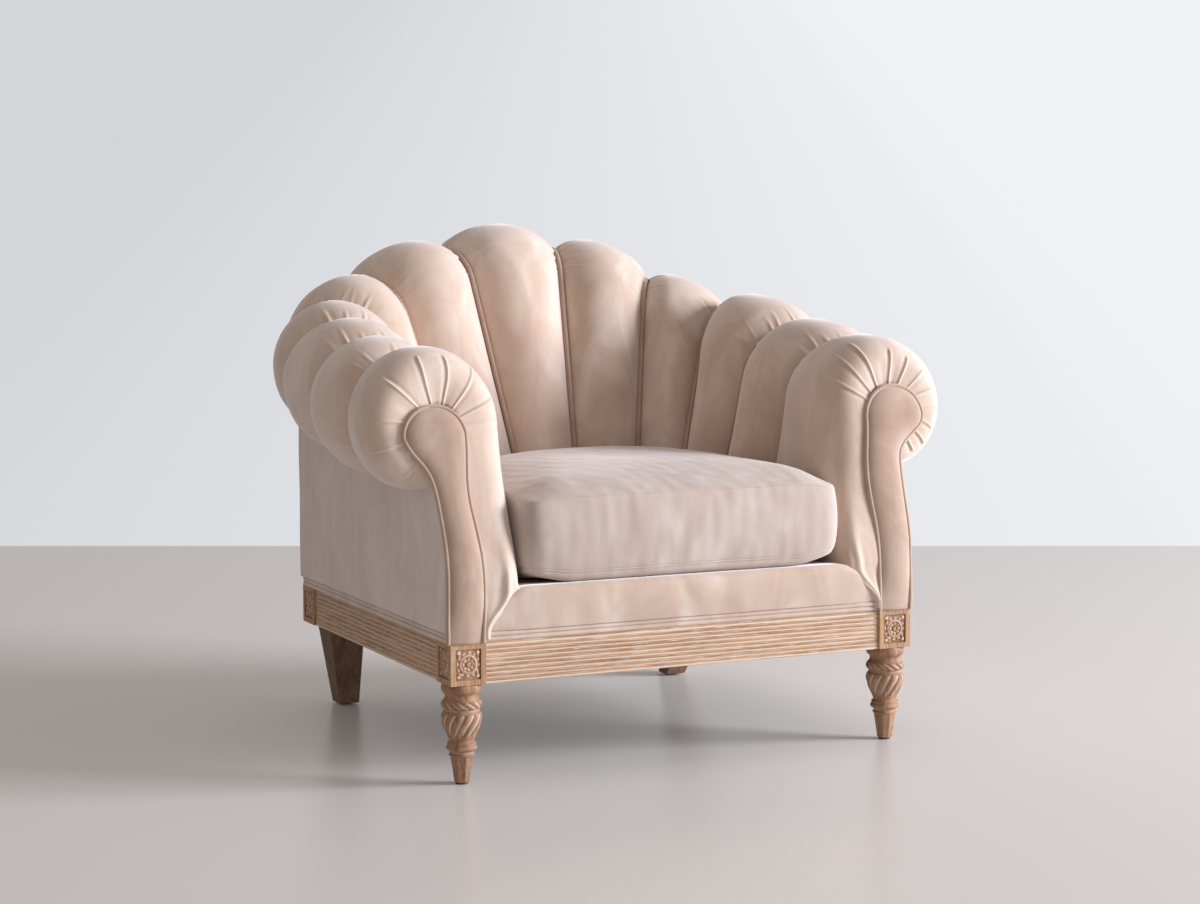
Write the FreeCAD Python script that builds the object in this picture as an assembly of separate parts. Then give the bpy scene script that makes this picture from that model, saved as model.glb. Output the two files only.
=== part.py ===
import FreeCAD, Part
import math
import os

os.makedirs("parts", exist_ok=True)

# Channel back armchair with a show wood base, in millimetres.
# X runs to the right as seen from the front, Y from front to back, Z up from the floor.
# Every place is worked out from the front face of the base and the floor, and the finished
# piece is moved back by origin_behind_front, so that the origin lies under the middle of the chair.

# Show wood base
base_width = 782.0
base_depth = 654.0
leg_height = 150.0
base_rail_height = 61.0
base_rail_thickness = 30.0
block_side = 56.0
block_proud = 3.0
reed_count = 7
reed_depth = 1.8
plain_band_height = 9.0
top_band_height = 4.0
panel_frame = 8.0
panel_depth = 3.0
rosette_ring_radius = 12.0
rosette_ring_bead = 2.6
rosette_boss_radius = 5.5
rosette_leaf_radius = 4.2
rosette_petals = 8
rosette_boss_share = 0.71
rosette_leaf_share = 0.70

# Legs
glide_height = 3.0
glide_radius = 9.0
rear_leg_top = 62.0
rear_leg_foot = 35.0
rear_leg_set_in = 26.0
rear_leg_set_forward = 8.0
rear_leg_lean_in = 25.0
rear_leg_rake = 50.0
rear_bolt_set_in = 15.0
front_leg_radius = 30.5
front_leg_foot_radius = 11.5
bolt_radius = 4.0
bolt_reach = 28.0
bolt_clearance = 0.3

# Base hardware
brace_leg = 90.0
brace_height = 40.0
brace_screw_radius = 2.2
brace_screw_head_radius = 4.5
brace_screw_head_height = 2.5
brace_screw_length = 24.0
brace_screw_shares = (0.3, 0.7)
dust_cover_thickness = 1.0
dust_cover_lap = 12.0

# Seat frame and springing
seat_rail_thickness = 26.0
seat_rail_height = 77.0
spring_count = 5
spring_wire_radius = 1.9
spring_width = 52.0
spring_pitch = 26.0
spring_clip_thickness = 3.0
spring_clip_width = 16.0
spring_clip_height = 14.0
deck_pad_thickness = 12.0

# Channels of the back and arms
seat_side_inset = 89.0
seat_rear_inset = 129.0
roll_side_inset = 6.0
roll_rear_reach = 67.0
arm_crest_height = 603.0
back_crest_height = 764.0
lean_start_height = 400.0
lean_bend_radius = 200.0
roll_radius = 80.0
pad_thickness = 30.0
channel_crown_share = 0.22
bend_stations = 3
roll_stations = 15
piping_radius = 4.0
piping_lift = 1.0
piping_foot_height = 60.0
core_clearance = 1.2
roll_end_gap = 1.5
arm_front_lean = 54.0

# Inner frame
arm_board_thickness = 26.0
board_inset = 2.2
arm_rail_height = 60.0
arm_rail_gap = 18.0
rear_post_side = 40.0
rear_post_drop = 35.0
back_stay_width = 30.0
back_stay_thickness = 24.0
back_stay_drop = 7.0
lining_thickness = 3.0
lining_top_share = 0.8

# Outside covers
facing_thickness = 8.0
facing_setback = 2.0
facing_inset = 0.8
outside_panel_thickness = 7.5
outside_panel_proud = 3.0
outside_panel_top_drop = 6.0
outside_corner_rise = 27.0
base_welt_radius = 3.6
base_welt_rows = 2
front_border_depth = 8.0
front_border_round = 16.0
front_border_round_share = 0.7
front_border_lip = 3.0

# Seat cushion
cushion_side_gap = 38.0
cushion_front = 6.0
cushion_rear_gap = 37.0
cushion_back_width_share = 0.394
cushion_side_run_share = 0.382
cushion_top_inset = 120.0
cushion_under_inset = 40.0
cushion_front_corner = 34.0
cushion_side_pull = 7.0
cushion_border_swell = 4.0
cushion_underside = 12.0
cushion_border = 117.0
cushion_crown = 34.0
cushion_dome_steps = 6
core_inset = 28.0
core_height = 96.0
zip_length_share = 0.914
zip_tape_height = 16.0
zip_tape_thickness = 1.0
zip_slider_length = 9.0
zip_slider_height = 12.0
zip_slider_thickness = 4.0

# Clearances and the overrun of every cut
clearance = 0.3
overrun = 1.0

# Seams between channels, from the middle of the back to the front of the arm.
# Each row: corner across, corner back, roll across, roll back, crest.
# Across and back are shares of the seat's and the roll's sizes; the crest is a share of
# the rise from the arms to the back.
right_seam_shares = (
    (0.179, 1.000, 0.262, 1.000, 1.00),
    (0.549, 0.983, 0.681, 0.932, 0.66),
    (0.758, 0.891, 0.925, 0.796, 0.33),
    (0.901, 0.747, 0.998, 0.524, 0.16),
    (0.974, 0.488, 1.000, 0.294, 0.00),
)
left_seam_shares = (
    (0.179, 1.000, 0.262, 1.000, 1.00),
    (0.549, 0.983, 0.681, 0.932, 0.68),
    (0.758, 0.891, 0.927, 0.800, 0.43),
    (0.887, 0.766, 0.996, 0.641, 0.27),
    (0.940, 0.606, 1.000, 0.466, 0.13),
    (0.980, 0.442, 1.000, 0.284, 0.00),
)

# Where the cushion's rounded back corners pass, as shares of its half width and its back run.
cushion_bow_across_share = 0.80
cushion_bow_back_share = 0.69

# How full a channel is along its run, as shares of channel_crown_share.
rise_crown_share = 1.05
roll_crown_shares = (1.00, 1.00, 1.00, 1.00, 0.98, 0.92, 0.78, 0.55, 0.30)
front_crown_share = 0.48
front_fullness_share = 0.72
front_round_back_share = 0.71
front_round_side_share = 0.71
front_rise_place_share = 0.5
front_rise_height_share = 0.8

# The turned front leg: height share, radius share, and whether the stretch bulges or hollows.
leg_turning_shares = (
    (1.000, 0.90, "bead", 0.100),
    (0.920, 0.90, "cove", 0.080),
    (0.855, 0.88, "bead", 0.120),
    (0.785, 0.88, "straight", 0.0),
    (0.775, 0.80, "straight", 0.0),
    (0.760, 0.80, "bead", 0.170),
    (0.440, 0.60, "straight", 0.0),
    (0.430, 0.68, "bead", 0.060),
    (0.385, 0.68, "straight", 0.0),
    (0.375, 0.54, "cove", 0.020),
    (0.350, 0.54, "straight", 0.0),
    (0.345, 0.64, "bead", 0.050),
    (0.310, 0.64, "straight", 0.0),
    (0.300, 0.57, "straight", 0.0),
    (0.020, 0.38, "straight", 0.0),
)

# Sizes worked out from the ones above
seat_half_width = base_width / 2 - seat_side_inset
seat_depth = base_depth - seat_rear_inset
roll_half_span = base_width / 2 - roll_side_inset
roll_depth = base_depth + roll_rear_reach
arm_rail_foot = arm_crest_height - 2 * roll_radius + pad_thickness - arm_rail_gap - arm_rail_height
cushion_half_width = seat_half_width - cushion_side_gap
cushion_back = seat_depth - cushion_rear_gap
cushion_back_half_width = cushion_half_width * cushion_back_width_share
cushion_side_run = cushion_front + (cushion_back - cushion_front) * cushion_side_run_share
rear_post_top = arm_crest_height - roll_radius - rear_post_drop
zip_length = 2 * cushion_back_half_width * zip_length_share
base_top = leg_height + base_rail_height
channel_gap = 2 * (piping_radius + clearance)
widest_chord = 2 * right_seam_shares[0][2] * roll_half_span
deck_top = base_top + seat_rail_height
front_plane = facing_setback
board_front = front_plane + facing_thickness
board_back = board_front + arm_board_thickness
panel_outer = base_width / 2 + outside_panel_proud
panel_inner = panel_outer - outside_panel_thickness
panel_rear = base_depth + outside_panel_proud
frame_rear = panel_rear - outside_panel_thickness
roll_end_out = panel_outer - roll_half_span + roll_end_gap
welt_height = base_welt_rows * base_welt_radius * 2
covers_foot = base_top + welt_height + clearance
front_lean_share = arm_front_lean / (arm_crest_height - roll_radius - covers_foot)
back_reach = roll_depth + roll_radius + widest_chord * channel_crown_share
front_reach = piping_radius + piping_radius / 2
origin_behind_front = (back_reach - front_reach) / 2


def at(x, y, z):
    return FreeCAD.Vector(x, y, z)


def box(x_low, x_high, y_low, y_high, z_low, z_high):
    """A block between two opposite corners."""
    corner = at(x_low, y_low, z_low)
    return Part.makeBox(x_high - x_low, y_high - y_low, z_high - z_low, corner)


def save(name, *solids):
    """Write the solids as one piece, with the origin under the middle of the chair."""
    if len(solids) == 1:
        shape = solids[0].copy()
    else:
        shape = Part.makeCompound([solid.copy() for solid in solids])
    shape.translate(at(0, -origin_behind_front, 0))
    shape.exportStep("parts/" + name + ".step")
    count = len(shape.Solids)
    print(name, count, "solids", round(shape.Volume), shape.isValid())


def polygon(points):
    return Part.makePolygon(list(points) + [points[0]])


def prism(points, direction):
    return Part.Face(polygon(points)).extrude(direction)


def mirrored(solid):
    """The same solid on the other side of the chair."""
    return solid.mirror(at(0, 0, 0), at(1, 0, 0))


def arc(start, middle, end):
    return Part.Arc(start, middle, end).toShape()


def line(start, end):
    return Part.makeLine(start, end)


# The arm fronts lean back. They stand upright over the front edge of the covers' foot and are
# sheared back from there, further the higher they get.

def lean_back(height):
    """How far an arm's front has leaned back at a height."""
    return (height - covers_foot) * front_lean_share


def leaned(shape):
    """The upright shape as it stands when it leans back with the arm's front."""
    shear = FreeCAD.Matrix()
    shear.A23 = front_lean_share
    shear.A24 = lean_back(0)
    return shape.transformGeometry(shear)


def leaned_points(points):
    return [at(point.x, point.y + lean_back(point.z), point.z) for point in points]


def rail_behind_board(x_low, x_high, y_rear, z_low, z_high):
    """A rail whose front end lies against the back of the leaning arm board."""
    points = [
        at(x_low, board_back + lean_back(z_low), z_low),
        at(x_low, y_rear, z_low),
        at(x_low, y_rear, z_high),
        at(x_low, board_back + lean_back(z_high), z_high),
    ]
    return prism(points, at(x_high - x_low, 0, 0))


# Seams. A seam's profile lies in one upright plane. It rises from the deck, bends outwards,
# leans back and goes over the roll. A point on it is given by the run along the profile and
# by its height over the seam, where a height below zero lies inside the padding.

def make_seam(side, shares):
    """Work out a seam's plane, lean and roll from its row of shares."""
    corner_across, corner_back, roll_across, roll_back, crest_share = shares
    corner = at(side * corner_across * seat_half_width, corner_back * seat_depth, 0)
    centre = at(side * roll_across * roll_half_span, roll_back * roll_depth, 0)
    reach = corner.distanceToPoint(centre)
    crest = arm_crest_height + crest_share * (back_crest_height - arm_crest_height)
    rise = crest - roll_radius - lean_start_height
    lean = math.atan2(reach, rise) - math.asin(roll_radius / math.hypot(reach, rise))
    bend_start = lean_start_height - lean_bend_radius * math.tan(lean / 2)
    return {
        "corner": corner,
        "outward": (centre - corner).normalize(),
        "reach": reach,
        "roll_height": crest - roll_radius,
        "lean": lean,
        "bend_start": bend_start,
        "roll_reach": centre.y,
    }


def place(seam, out, height):
    """The point at a distance out from the seam's corner, in its plane."""
    point = seam["corner"] + seam["outward"] * out
    return at(point.x, point.y, height)


def bend_point(seam, share, over):
    """A point on the bend; the angle is a share of the lean."""
    angle = seam["lean"] * share
    radius = lean_bend_radius + over
    out = lean_bend_radius - radius * math.cos(angle)
    return place(seam, out, seam["bend_start"] + radius * math.sin(angle))


def roll_point(seam, angle, over):
    """A point on the roll; the angle turns over the top, from facing the seat at zero."""
    radius = roll_radius + over
    out = seam["reach"] - radius * math.cos(angle)
    return place(seam, out, seam["roll_height"] + radius * math.sin(angle))


def seam_stations(seam, over, foot):
    """Points at matching stations on any seam, from the deck to the roll's underside."""
    points = [place(seam, -over, foot)]
    for step in range(bend_stations):
        points.append(bend_point(seam, step / (bend_stations - 1), over))
    end_angle = roll_end_angle(over)
    for step in range(roll_stations + 1):
        angle = seam["lean"] + (end_angle - seam["lean"]) * step / roll_stations
        points.append(roll_point(seam, angle, over))
    return points


def roll_end_angle(over):
    """Where the roll's underside meets the line of the outside covers."""
    return 1.5 * math.pi - math.asin(roll_end_out / (roll_radius + over))


def roll_crown(share):
    """How full a channel is at a share of the way round the roll."""
    place_in_row = share * (len(roll_crown_shares) - 1)
    row = min(int(place_in_row), len(roll_crown_shares) - 2)
    rest = place_in_row - row
    return roll_crown_shares[row] * (1 - rest) + roll_crown_shares[row + 1] * rest


def station_fullness():
    shares = [rise_crown_share] * (1 + bend_stations)
    shares += [roll_crown(step / roll_stations) for step in range(roll_stations + 1)]
    return [share * channel_crown_share for share in shares]


def raised(left, right, left_out, right_out, share, height):
    """A point over the chord between two seams, lifted square to the chord."""
    chord = right - left
    along = chord * (1 / chord.Length)
    lift = left_out + right_out
    lift = lift - along * lift.dot(along)
    lift.normalize()
    return left + chord * share + lift * height


def off_seam(seam, start, end):
    """Move a side point along its chord until it stands half a gap from the seam's plane."""
    along = (end - start).normalize()
    across = at(-seam["outward"].y, seam["outward"].x, 0)
    return start + along * (channel_gap / 2 / abs(along.dot(across)))


def side_points(seam_a, seam_b, over, foot):
    """Both sides of a channel at every station, clear of the piping between channels."""
    points_a = seam_stations(seam_a, over, foot)
    points_b = seam_stations(seam_b, over, foot)
    side_a = [off_seam(seam_a, a, b) for a, b in zip(points_a, points_b)]
    side_b = [off_seam(seam_b, b, a) for a, b in zip(points_a, points_b)]
    return side_a, side_b


def channel_between(seam_a, seam_b):
    """One channel: a loft of crowned sections from the deck over the roll."""
    foot = deck_top + clearance
    top_a, top_b = side_points(seam_a, seam_b, 0, foot)
    low_a, low_b = side_points(seam_a, seam_b, -pad_thickness, foot)
    sections = []
    for a, b, a_in, b_in, fullness in zip(top_a, top_b, low_a, low_b, station_fullness()):
        crown = fullness * a.distanceToPoint(b)
        crest = raised(a, b, (a - a_in).normalize(), (b - b_in).normalize(), 0.5, crown)
        edges = [arc(a, crest, b), line(b, b_in), line(b_in, a_in), line(a_in, a)]
        sections.append(Part.Wire(edges))
    return Part.makeLoft(sections, True, True)


def front_channel(side, seam):
    """The last channel of an arm, which rounds over to the facing's edge."""
    foot = deck_top + clearance
    front = front_seam(side)
    low_f = leaned_points(seam_stations(front, -pad_thickness, foot))
    top_f = [at(top.x, low.y, top.z) for top, low in zip(seam_stations(front, 0, foot), low_f)]
    top_a, _ = side_points(seam, front, 0, foot)
    low_a, _ = side_points(seam, front, -pad_thickness, foot)
    sections = []
    for a, a_in, f, f_in, fullness in zip(top_a, low_a, top_f, low_f, station_fullness()):
        crown = fullness * front_fullness_share * seam["roll_reach"]
        out_a = (a - a_in).normalize()
        out_f = (f - f_in).normalize()
        crest = raised(a, f, out_a, out_f, front_crown_share, crown)
        corner = f + (crest - a - (f - a) * front_crown_share)
        round_back = (crest - corner) * (1 - front_round_back_share)
        round_side = (f_in - corner) * (1 - front_round_side_share)
        shoulder = corner + round_back + round_side
        half_rise = raised(a, f, out_a, out_f, front_crown_share * front_rise_place_share,
                           crown * front_rise_height_share)
        edges = [arc(a, half_rise, crest), arc(crest, shoulder, f_in), line(f_in, a_in), line(a_in, a)]
        sections.append(Part.Wire(edges))
    return Part.makeLoft(sections, True, True)


def front_seam(side):
    """The arm's profile at the front plane, where the facing sits."""
    corner = at(side * seat_half_width, front_plane, 0)
    rise = arm_crest_height - roll_radius - lean_start_height
    reach = roll_half_span - seat_half_width
    lean = math.atan2(reach, rise) - math.asin(roll_radius / math.hypot(reach, rise))
    return {
        "corner": corner,
        "outward": at(side, 0, 0),
        "reach": reach,
        "roll_height": arm_crest_height - roll_radius,
        "lean": lean,
        "bend_start": lean_start_height - lean_bend_radius * math.tan(lean / 2),
    }


def profile_wire(seam, over, foot, end_angle):
    """The seam's line as edges, raised by over, down to the end angle on the roll."""
    bend_low = bend_point(seam, 0, over)
    bend_high = bend_point(seam, 1, over)
    roll_start = roll_point(seam, seam["lean"], over)
    middle_angle = (seam["lean"] + end_angle) / 2
    quarter = (seam["lean"] + middle_angle) / 2
    three_quarter = (middle_angle + end_angle) / 2
    roll_middle = roll_point(seam, middle_angle, over)
    return [
        line(place(seam, -over, foot), bend_low),
        arc(bend_low, bend_point(seam, 0.5, over), bend_high),
        line(bend_high, roll_start),
        arc(roll_start, roll_point(seam, quarter, over), roll_middle),
        arc(roll_middle, roll_point(seam, three_quarter, over), roll_point(seam, end_angle, over)),
    ]


def tube(edges, radius):
    """A round cord along joined edges."""
    path = Part.Wire(edges)
    start = edges[0].valueAt(edges[0].FirstParameter)
    direction = edges[0].tangentAt(edges[0].FirstParameter)
    ring = Part.Wire(Part.makeCircle(radius, start, direction))
    return path.makePipeShell([ring], True, False)


def seam_piping(seam):
    """Piping in the groove of one seam, from behind the cushion over the roll."""
    end_angle = roll_end_angle(piping_lift) - piping_radius * 2 / roll_radius
    foot = deck_top + piping_foot_height
    return tube(profile_wire(seam, piping_lift, foot, end_angle), piping_radius)


right_seams = [make_seam(1, shares) for shares in right_seam_shares]
left_seams = [make_seam(-1, shares) for shares in left_seam_shares]


# Show wood base

def reeded_rail(length, face, back):
    """A straight rail with rounded reeds on its face, lying along X with its face towards -Y."""
    reeds_low = leg_height + plain_band_height
    reeds_high = base_top - top_band_height
    pitch = (reeds_high - reeds_low) / reed_count
    half = length / 2
    edges = [
        line(at(-half, back, leg_height), at(-half, face, leg_height)),
        line(at(-half, face, leg_height), at(-half, face, reeds_low)),
        line(at(-half, face, reeds_low), at(-half, face + reed_depth, reeds_low)),
    ]
    for reed in range(reed_count):
        low = reeds_low + reed * pitch
        start = at(-half, face + reed_depth, low)
        crest = at(-half, face, low + pitch / 2)
        end = at(-half, face + reed_depth, low + pitch)
        edges.append(arc(start, crest, end))
    edges.append(line(at(-half, face + reed_depth, reeds_high), at(-half, face + reed_depth, base_top)))
    edges.append(line(at(-half, face + reed_depth, base_top), at(-half, back, base_top)))
    edges.append(line(at(-half, back, base_top), at(-half, back, leg_height)))
    return Part.Face(Part.Wire(edges)).extrude(at(length, 0, 0))


def rosette():
    """A flower of petals round a boss inside a ring, with a leaf in each corner, facing -Y."""
    ring = Part.makeTorus(rosette_ring_radius, rosette_ring_bead, at(0, 0, 0), at(0, -1, 0))
    carved = ring.fuse(Part.makeSphere(rosette_boss_radius * rosette_boss_share, at(0, 0, 0)))
    petal_radius = (rosette_ring_radius + rosette_boss_radius) / 2
    for petal in range(rosette_petals):
        angle = 2 * math.pi * petal / rosette_petals
        centre = at(petal_radius * math.cos(angle), 0, petal_radius * math.sin(angle))
        carved = carved.fuse(Part.makeSphere(rosette_ring_bead, centre))
    leaf_place = rosette_ring_radius + rosette_leaf_radius / 2
    for x_side in (-1, 1):
        for z_side in (-1, 1):
            centre = at(x_side * leaf_place, 0, z_side * leaf_place)
            carved = carved.fuse(Part.makeSphere(rosette_leaf_radius * rosette_leaf_share, centre))
    inside = rosette_ring_radius + rosette_leaf_radius * 2
    keep = box(-inside, inside, -panel_depth, panel_depth, -inside, inside)
    return carved.common(keep)


def corner_block(side, front):
    """A block over a leg, with a sunk carved square on each outer face."""
    outer = base_width / 2
    y_low = 0 if front else base_depth - block_side
    block = box(outer - block_side, outer, y_low, y_low + block_side, leg_height, base_top)
    middle = at(outer - block_side / 2, 0, leg_height + base_rail_height / 2)
    half_wide = block_side / 2 - panel_frame
    half_high = base_rail_height / 2 - panel_frame
    face = 0 if front else base_depth
    sunk = face + panel_depth if front else face - panel_depth
    low, high = sorted((face - overrun, sunk)) if front else sorted((face + overrun, sunk))
    block = block.cut(box(middle.x - half_wide, middle.x + half_wide, low, high,
                          middle.z - half_high, middle.z + half_high))
    block = block.cut(box(outer - panel_depth, outer + overrun,
                          y_low + panel_frame, y_low + block_side - panel_frame,
                          middle.z - half_high, middle.z + half_high))
    carved = rosette()
    if not front:
        carved.rotate(at(0, 0, 0), at(0, 0, 1), 180)
    carved.translate(at(middle.x, sunk, middle.z))
    side_carved = rosette()
    side_carved.rotate(at(0, 0, 0), at(0, 0, 1), 90)
    side_carved.translate(at(outer - panel_depth, y_low + block_side / 2, middle.z))
    block = block.fuse(carved).fuse(side_carved)
    bolt_top = leg_height + bolt_reach + clearance
    bolt_x, bolt_y = bolt_place(1, front)
    hole = Part.makeCylinder(bolt_radius + bolt_clearance, bolt_top - leg_height + overrun,
                             at(bolt_x, bolt_y, leg_height - overrun))
    block = block.cut(hole)
    return block if side > 0 else mirrored(block)


def bolt_place(side, front):
    """The middle of the block at the front; a little further in at the rear."""
    x = base_width / 2 - block_side / 2
    if front:
        return side * x, block_side / 2
    return side * (x - rear_bolt_set_in), base_depth - block_side / 2


def rear_leg_place(side):
    """The middle of a rear leg's top."""
    x = base_width / 2 - block_side / 2 - rear_leg_set_in
    return side * x, base_depth - block_side / 2 - rear_leg_set_forward


def foot_place(side, front):
    if front:
        return bolt_place(side, True)
    x, y = rear_leg_place(side)
    return x - side * rear_leg_lean_in, y + rear_leg_rake


def bolt_hole(x, y):
    start = leg_height - bolt_reach - clearance
    return Part.makeCylinder(bolt_radius + bolt_clearance, bolt_reach + clearance + overrun, at(x, y, start))


def hanger_bolt(x, y):
    return Part.makeCylinder(bolt_radius, 2 * bolt_reach, at(x, y, leg_height - bolt_reach))


def front_leg(side):
    """A turned leg: beads, coves, a vase and a tapered foot about one axis."""
    x, y = bolt_place(side, True)
    turning = leg_height - glide_height
    points = []
    for height_share, radius_share, form, swell_share in leg_turning_shares:
        height = glide_height + turning * height_share
        points.append((height, front_leg_radius * radius_share, form, front_leg_radius * swell_share))
    foot = (glide_height, front_leg_foot_radius, "end", 0)
    points.append(foot)
    edges = [line(at(0, 0, points[0][0]), at(points[0][1], 0, points[0][0]))]
    for (high, wide, form, swell), (low, next_wide, _, _) in zip(points, points[1:]):
        start = at(wide, 0, high)
        end = at(next_wide, 0, low)
        middle = (high + low) / 2
        mean = (wide + next_wide) / 2
        if form == "bead":
            edges.append(arc(start, at(mean + swell, 0, middle), end))
        elif form == "cove":
            edges.append(arc(start, at(mean - swell, 0, middle), end))
        else:
            edges.append(line(start, end))
    edges.append(line(at(front_leg_foot_radius, 0, glide_height), at(0, 0, glide_height)))
    edges.append(line(at(0, 0, glide_height), at(0, 0, points[0][0])))
    leg = Part.Face(Part.Wire(edges)).revolve(at(0, 0, 0), at(0, 0, 1), 360)
    leg.translate(at(x, y, 0))
    return leg.cut(bolt_hole(x, y))


def rear_leg(side):
    """A square leg that tapers, leans in and rakes back."""
    x, y = rear_leg_place(side)
    foot_x, foot_y = foot_place(side, False)
    half_top = rear_leg_top / 2
    half_foot = rear_leg_foot / 2

    def square(cx, cy, half, z):
        corners = ((-1, -1), (1, -1), (1, 1), (-1, 1))
        return polygon([at(cx + sx * half, cy + sy * half, z) for sx, sy in corners])

    top = square(x, y, half_top, leg_height)
    bottom = square(foot_x, foot_y, half_foot, glide_height)
    return Part.makeLoft([bottom, top], True, True).cut(bolt_hole(*bolt_place(side, False)))


def foot_glide(x, y):
    return Part.makeCylinder(glide_radius, glide_height, at(x, y, 0))


def build_base():
    half_width = base_width / 2
    between_x = base_width - 2 * block_side
    between_y = base_depth - 2 * block_side
    front = reeded_rail(between_x, block_proud, block_proud + base_rail_thickness)
    save("front_rail", front)
    rear = front.copy()
    rear.rotate(at(0, base_depth / 2, 0), at(0, 0, 1), 180)
    save("rear_rail", rear)
    side = reeded_rail(between_y, block_proud - half_width, block_proud - half_width + base_rail_thickness)
    side.rotate(at(0, 0, 0), at(0, 0, 1), 90)
    side.translate(at(0, base_depth / 2, 0))
    save("right_rail", side)
    save("left_rail", mirrored(side))
    bolts = []
    glides = []
    for side_name, sign in (("left", -1), ("right", 1)):
        save("corner_block_front_" + side_name, corner_block(sign, True))
        save("corner_block_rear_" + side_name, corner_block(sign, False))
        save("front_leg_" + side_name, front_leg(sign))
        save("rear_leg_" + side_name, rear_leg(sign))
        for is_front in (True, False):
            bolts.append(hanger_bolt(*bolt_place(sign, is_front)))
            glides.append(foot_glide(*foot_place(sign, is_front)))
    save("leg_hanger_bolts", *bolts)
    save("foot_glides", *glides)


def build_braces():
    """Corner braces across the inside of the base, each held by two screws."""
    inner_x = base_width / 2 - block_proud - base_rail_thickness
    inner_front = block_proud + base_rail_thickness
    inner_rear = base_depth - inner_front
    low = base_top - clearance - brace_height
    block_inner = base_width / 2 - block_side
    braces = []
    screws = []
    for sign in (-1, 1):
        for y_wall, way, y_block in ((inner_front, 1, block_side), (inner_rear, -1, base_depth - block_side)):
            points = [
                at(sign * inner_x, y_block, low),
                at(sign * inner_x, y_block + way * brace_leg, low),
                at(sign * (block_inner - brace_leg), y_wall, low),
                at(sign * block_inner, y_wall, low),
                at(sign * block_inner, y_block, low),
            ]
            brace = prism(points, at(0, 0, brace_height))
            for share in brace_screw_shares:
                on_face = points[1] + (points[2] - points[1]) * share
                across = at(points[2].y - points[1].y, points[1].x - points[2].x, 0).normalize()
                towards = at(sign * base_width / 2, y_wall, 0) - at(on_face.x, on_face.y, 0)
                if across.dot(towards) < 0:
                    across = across * -1
                centre = at(on_face.x, on_face.y, low + brace_height / 2)
                hole = Part.makeCylinder(brace_screw_radius + clearance, brace_screw_length + clearance,
                                         centre, across)
                brace = brace.cut(hole)
                shank = Part.makeCylinder(brace_screw_radius, brace_screw_length, centre, across)
                head_start = centre - across * brace_screw_head_height
                head = Part.makeCylinder(brace_screw_head_radius, brace_screw_head_height, head_start, across)
                screws.append(shank.fuse(head))
            braces.append(brace)
    save("corner_braces", *braces)
    save("brace_screws", *screws)


def build_dust_cover():
    """The cloth under the seat, cut out round the rear legs."""
    inner_x = base_width / 2 - block_side
    inner_front = block_side
    top = leg_height
    sheet = box(-inner_x, inner_x, inner_front - dust_cover_lap, base_depth - inner_front + dust_cover_lap,
                top - dust_cover_thickness, top)
    half = rear_leg_top / 2 + clearance
    for sign in (-1, 1):
        x, y = rear_leg_place(sign)
        sheet = sheet.cut(box(x - half, x + half, y - half, y + half, top - leg_height / 2, top + overrun))
    save("dust_cover", sheet)


# Seat frame, springs and deck

def build_seat_frame():
    rail_inner = panel_inner - seat_rail_thickness
    front_width = seat_half_width + pad_thickness - piping_radius - clearance
    front_top = deck_top - front_border_lip
    save("seat_frame_front", box(-front_width, front_width, board_front, board_back, base_top, front_top))
    rear_low = frame_rear - seat_rail_thickness
    save("seat_frame_rear", box(-panel_inner, panel_inner, rear_low, frame_rear, base_top, deck_top))
    side = rail_behind_board(rail_inner, panel_inner, rear_low, base_top, deck_top)
    save("seat_frame_right", side)
    save("seat_frame_left", mirrored(side))


def spring_path(x, y_start, y_end, height):
    """A wire that snakes from the front rail to the rear rail, in even half loops."""
    span = y_end - y_start
    turns = int(span / spring_pitch)
    step = span / turns
    half = spring_width / 2 - step / 2
    edges = [line(at(x, y_start, height), at(x - half, y_start, height))]
    side = -1
    y = y_start
    for turn in range(turns):
        start = at(x + side * half, y, height)
        outer = at(x + side * (half + step / 2), y + step / 2, height)
        end = at(x + side * half, y + step, height)
        edges.append(arc(start, outer, end))
        last_turn = turn == turns - 1
        next_x = x if last_turn else x - side * half
        edges.append(line(end, at(next_x, y + step, height)))
        side = -side
        y = y + step
    return edges


def build_springs():
    rail_front = board_back
    rail_rear = frame_rear - seat_rail_thickness
    height = deck_top - deck_pad_thickness - clearance - spring_wire_radius
    wire_front = rail_front + spring_clip_thickness + spring_wire_radius + clearance
    wire_rear = rail_rear - spring_clip_thickness - spring_wire_radius - clearance
    spacing = 2 * (seat_half_width - pad_thickness) / spring_count
    springs = []
    clips = []
    for index in range(spring_count):
        x = (index - (spring_count - 1) / 2) * spacing
        springs.append(tube(spring_path(x, wire_front, wire_rear, height), spring_wire_radius))
        for wall, way in ((rail_front, 1), (rail_rear, -1)):
            clips.append(spring_clip(x, wall, way, height))
    save("seat_springs", *springs)
    save("spring_clips", *clips)


def spring_clip(x, wall, way, height):
    """A bent plate on the rail with a hook round the end of the wire."""
    half = spring_clip_width / 2
    thick = spring_clip_thickness
    wire_gap = spring_wire_radius * 2 + clearance * 2
    low = height - spring_clip_height
    floor_top = height - spring_wire_radius - clearance
    y_near, y_far = sorted((wall, wall + way * thick))
    plate = box(x - half, x + half, y_near, y_far, low, height)
    y_near, y_far = sorted((wall, wall + way * (thick * 2 + wire_gap)))
    floor = box(x - half, x + half, y_near, y_far, floor_top - thick, floor_top)
    y_near, y_far = sorted((wall + way * (thick + wire_gap), wall + way * (thick * 2 + wire_gap)))
    lip = box(x - half, x + half, y_near, y_far, floor_top - thick, height)
    tongue = plate.fuse(floor).fuse(lip).removeSplitter()
    y_near, y_far = sorted((wall + way * thick, wall + way * (thick + wire_gap)))
    slot = box(x - half - overrun, x + half + overrun, y_near, y_far, floor_top, height + overrun)
    return tongue.cut(slot)


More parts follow.
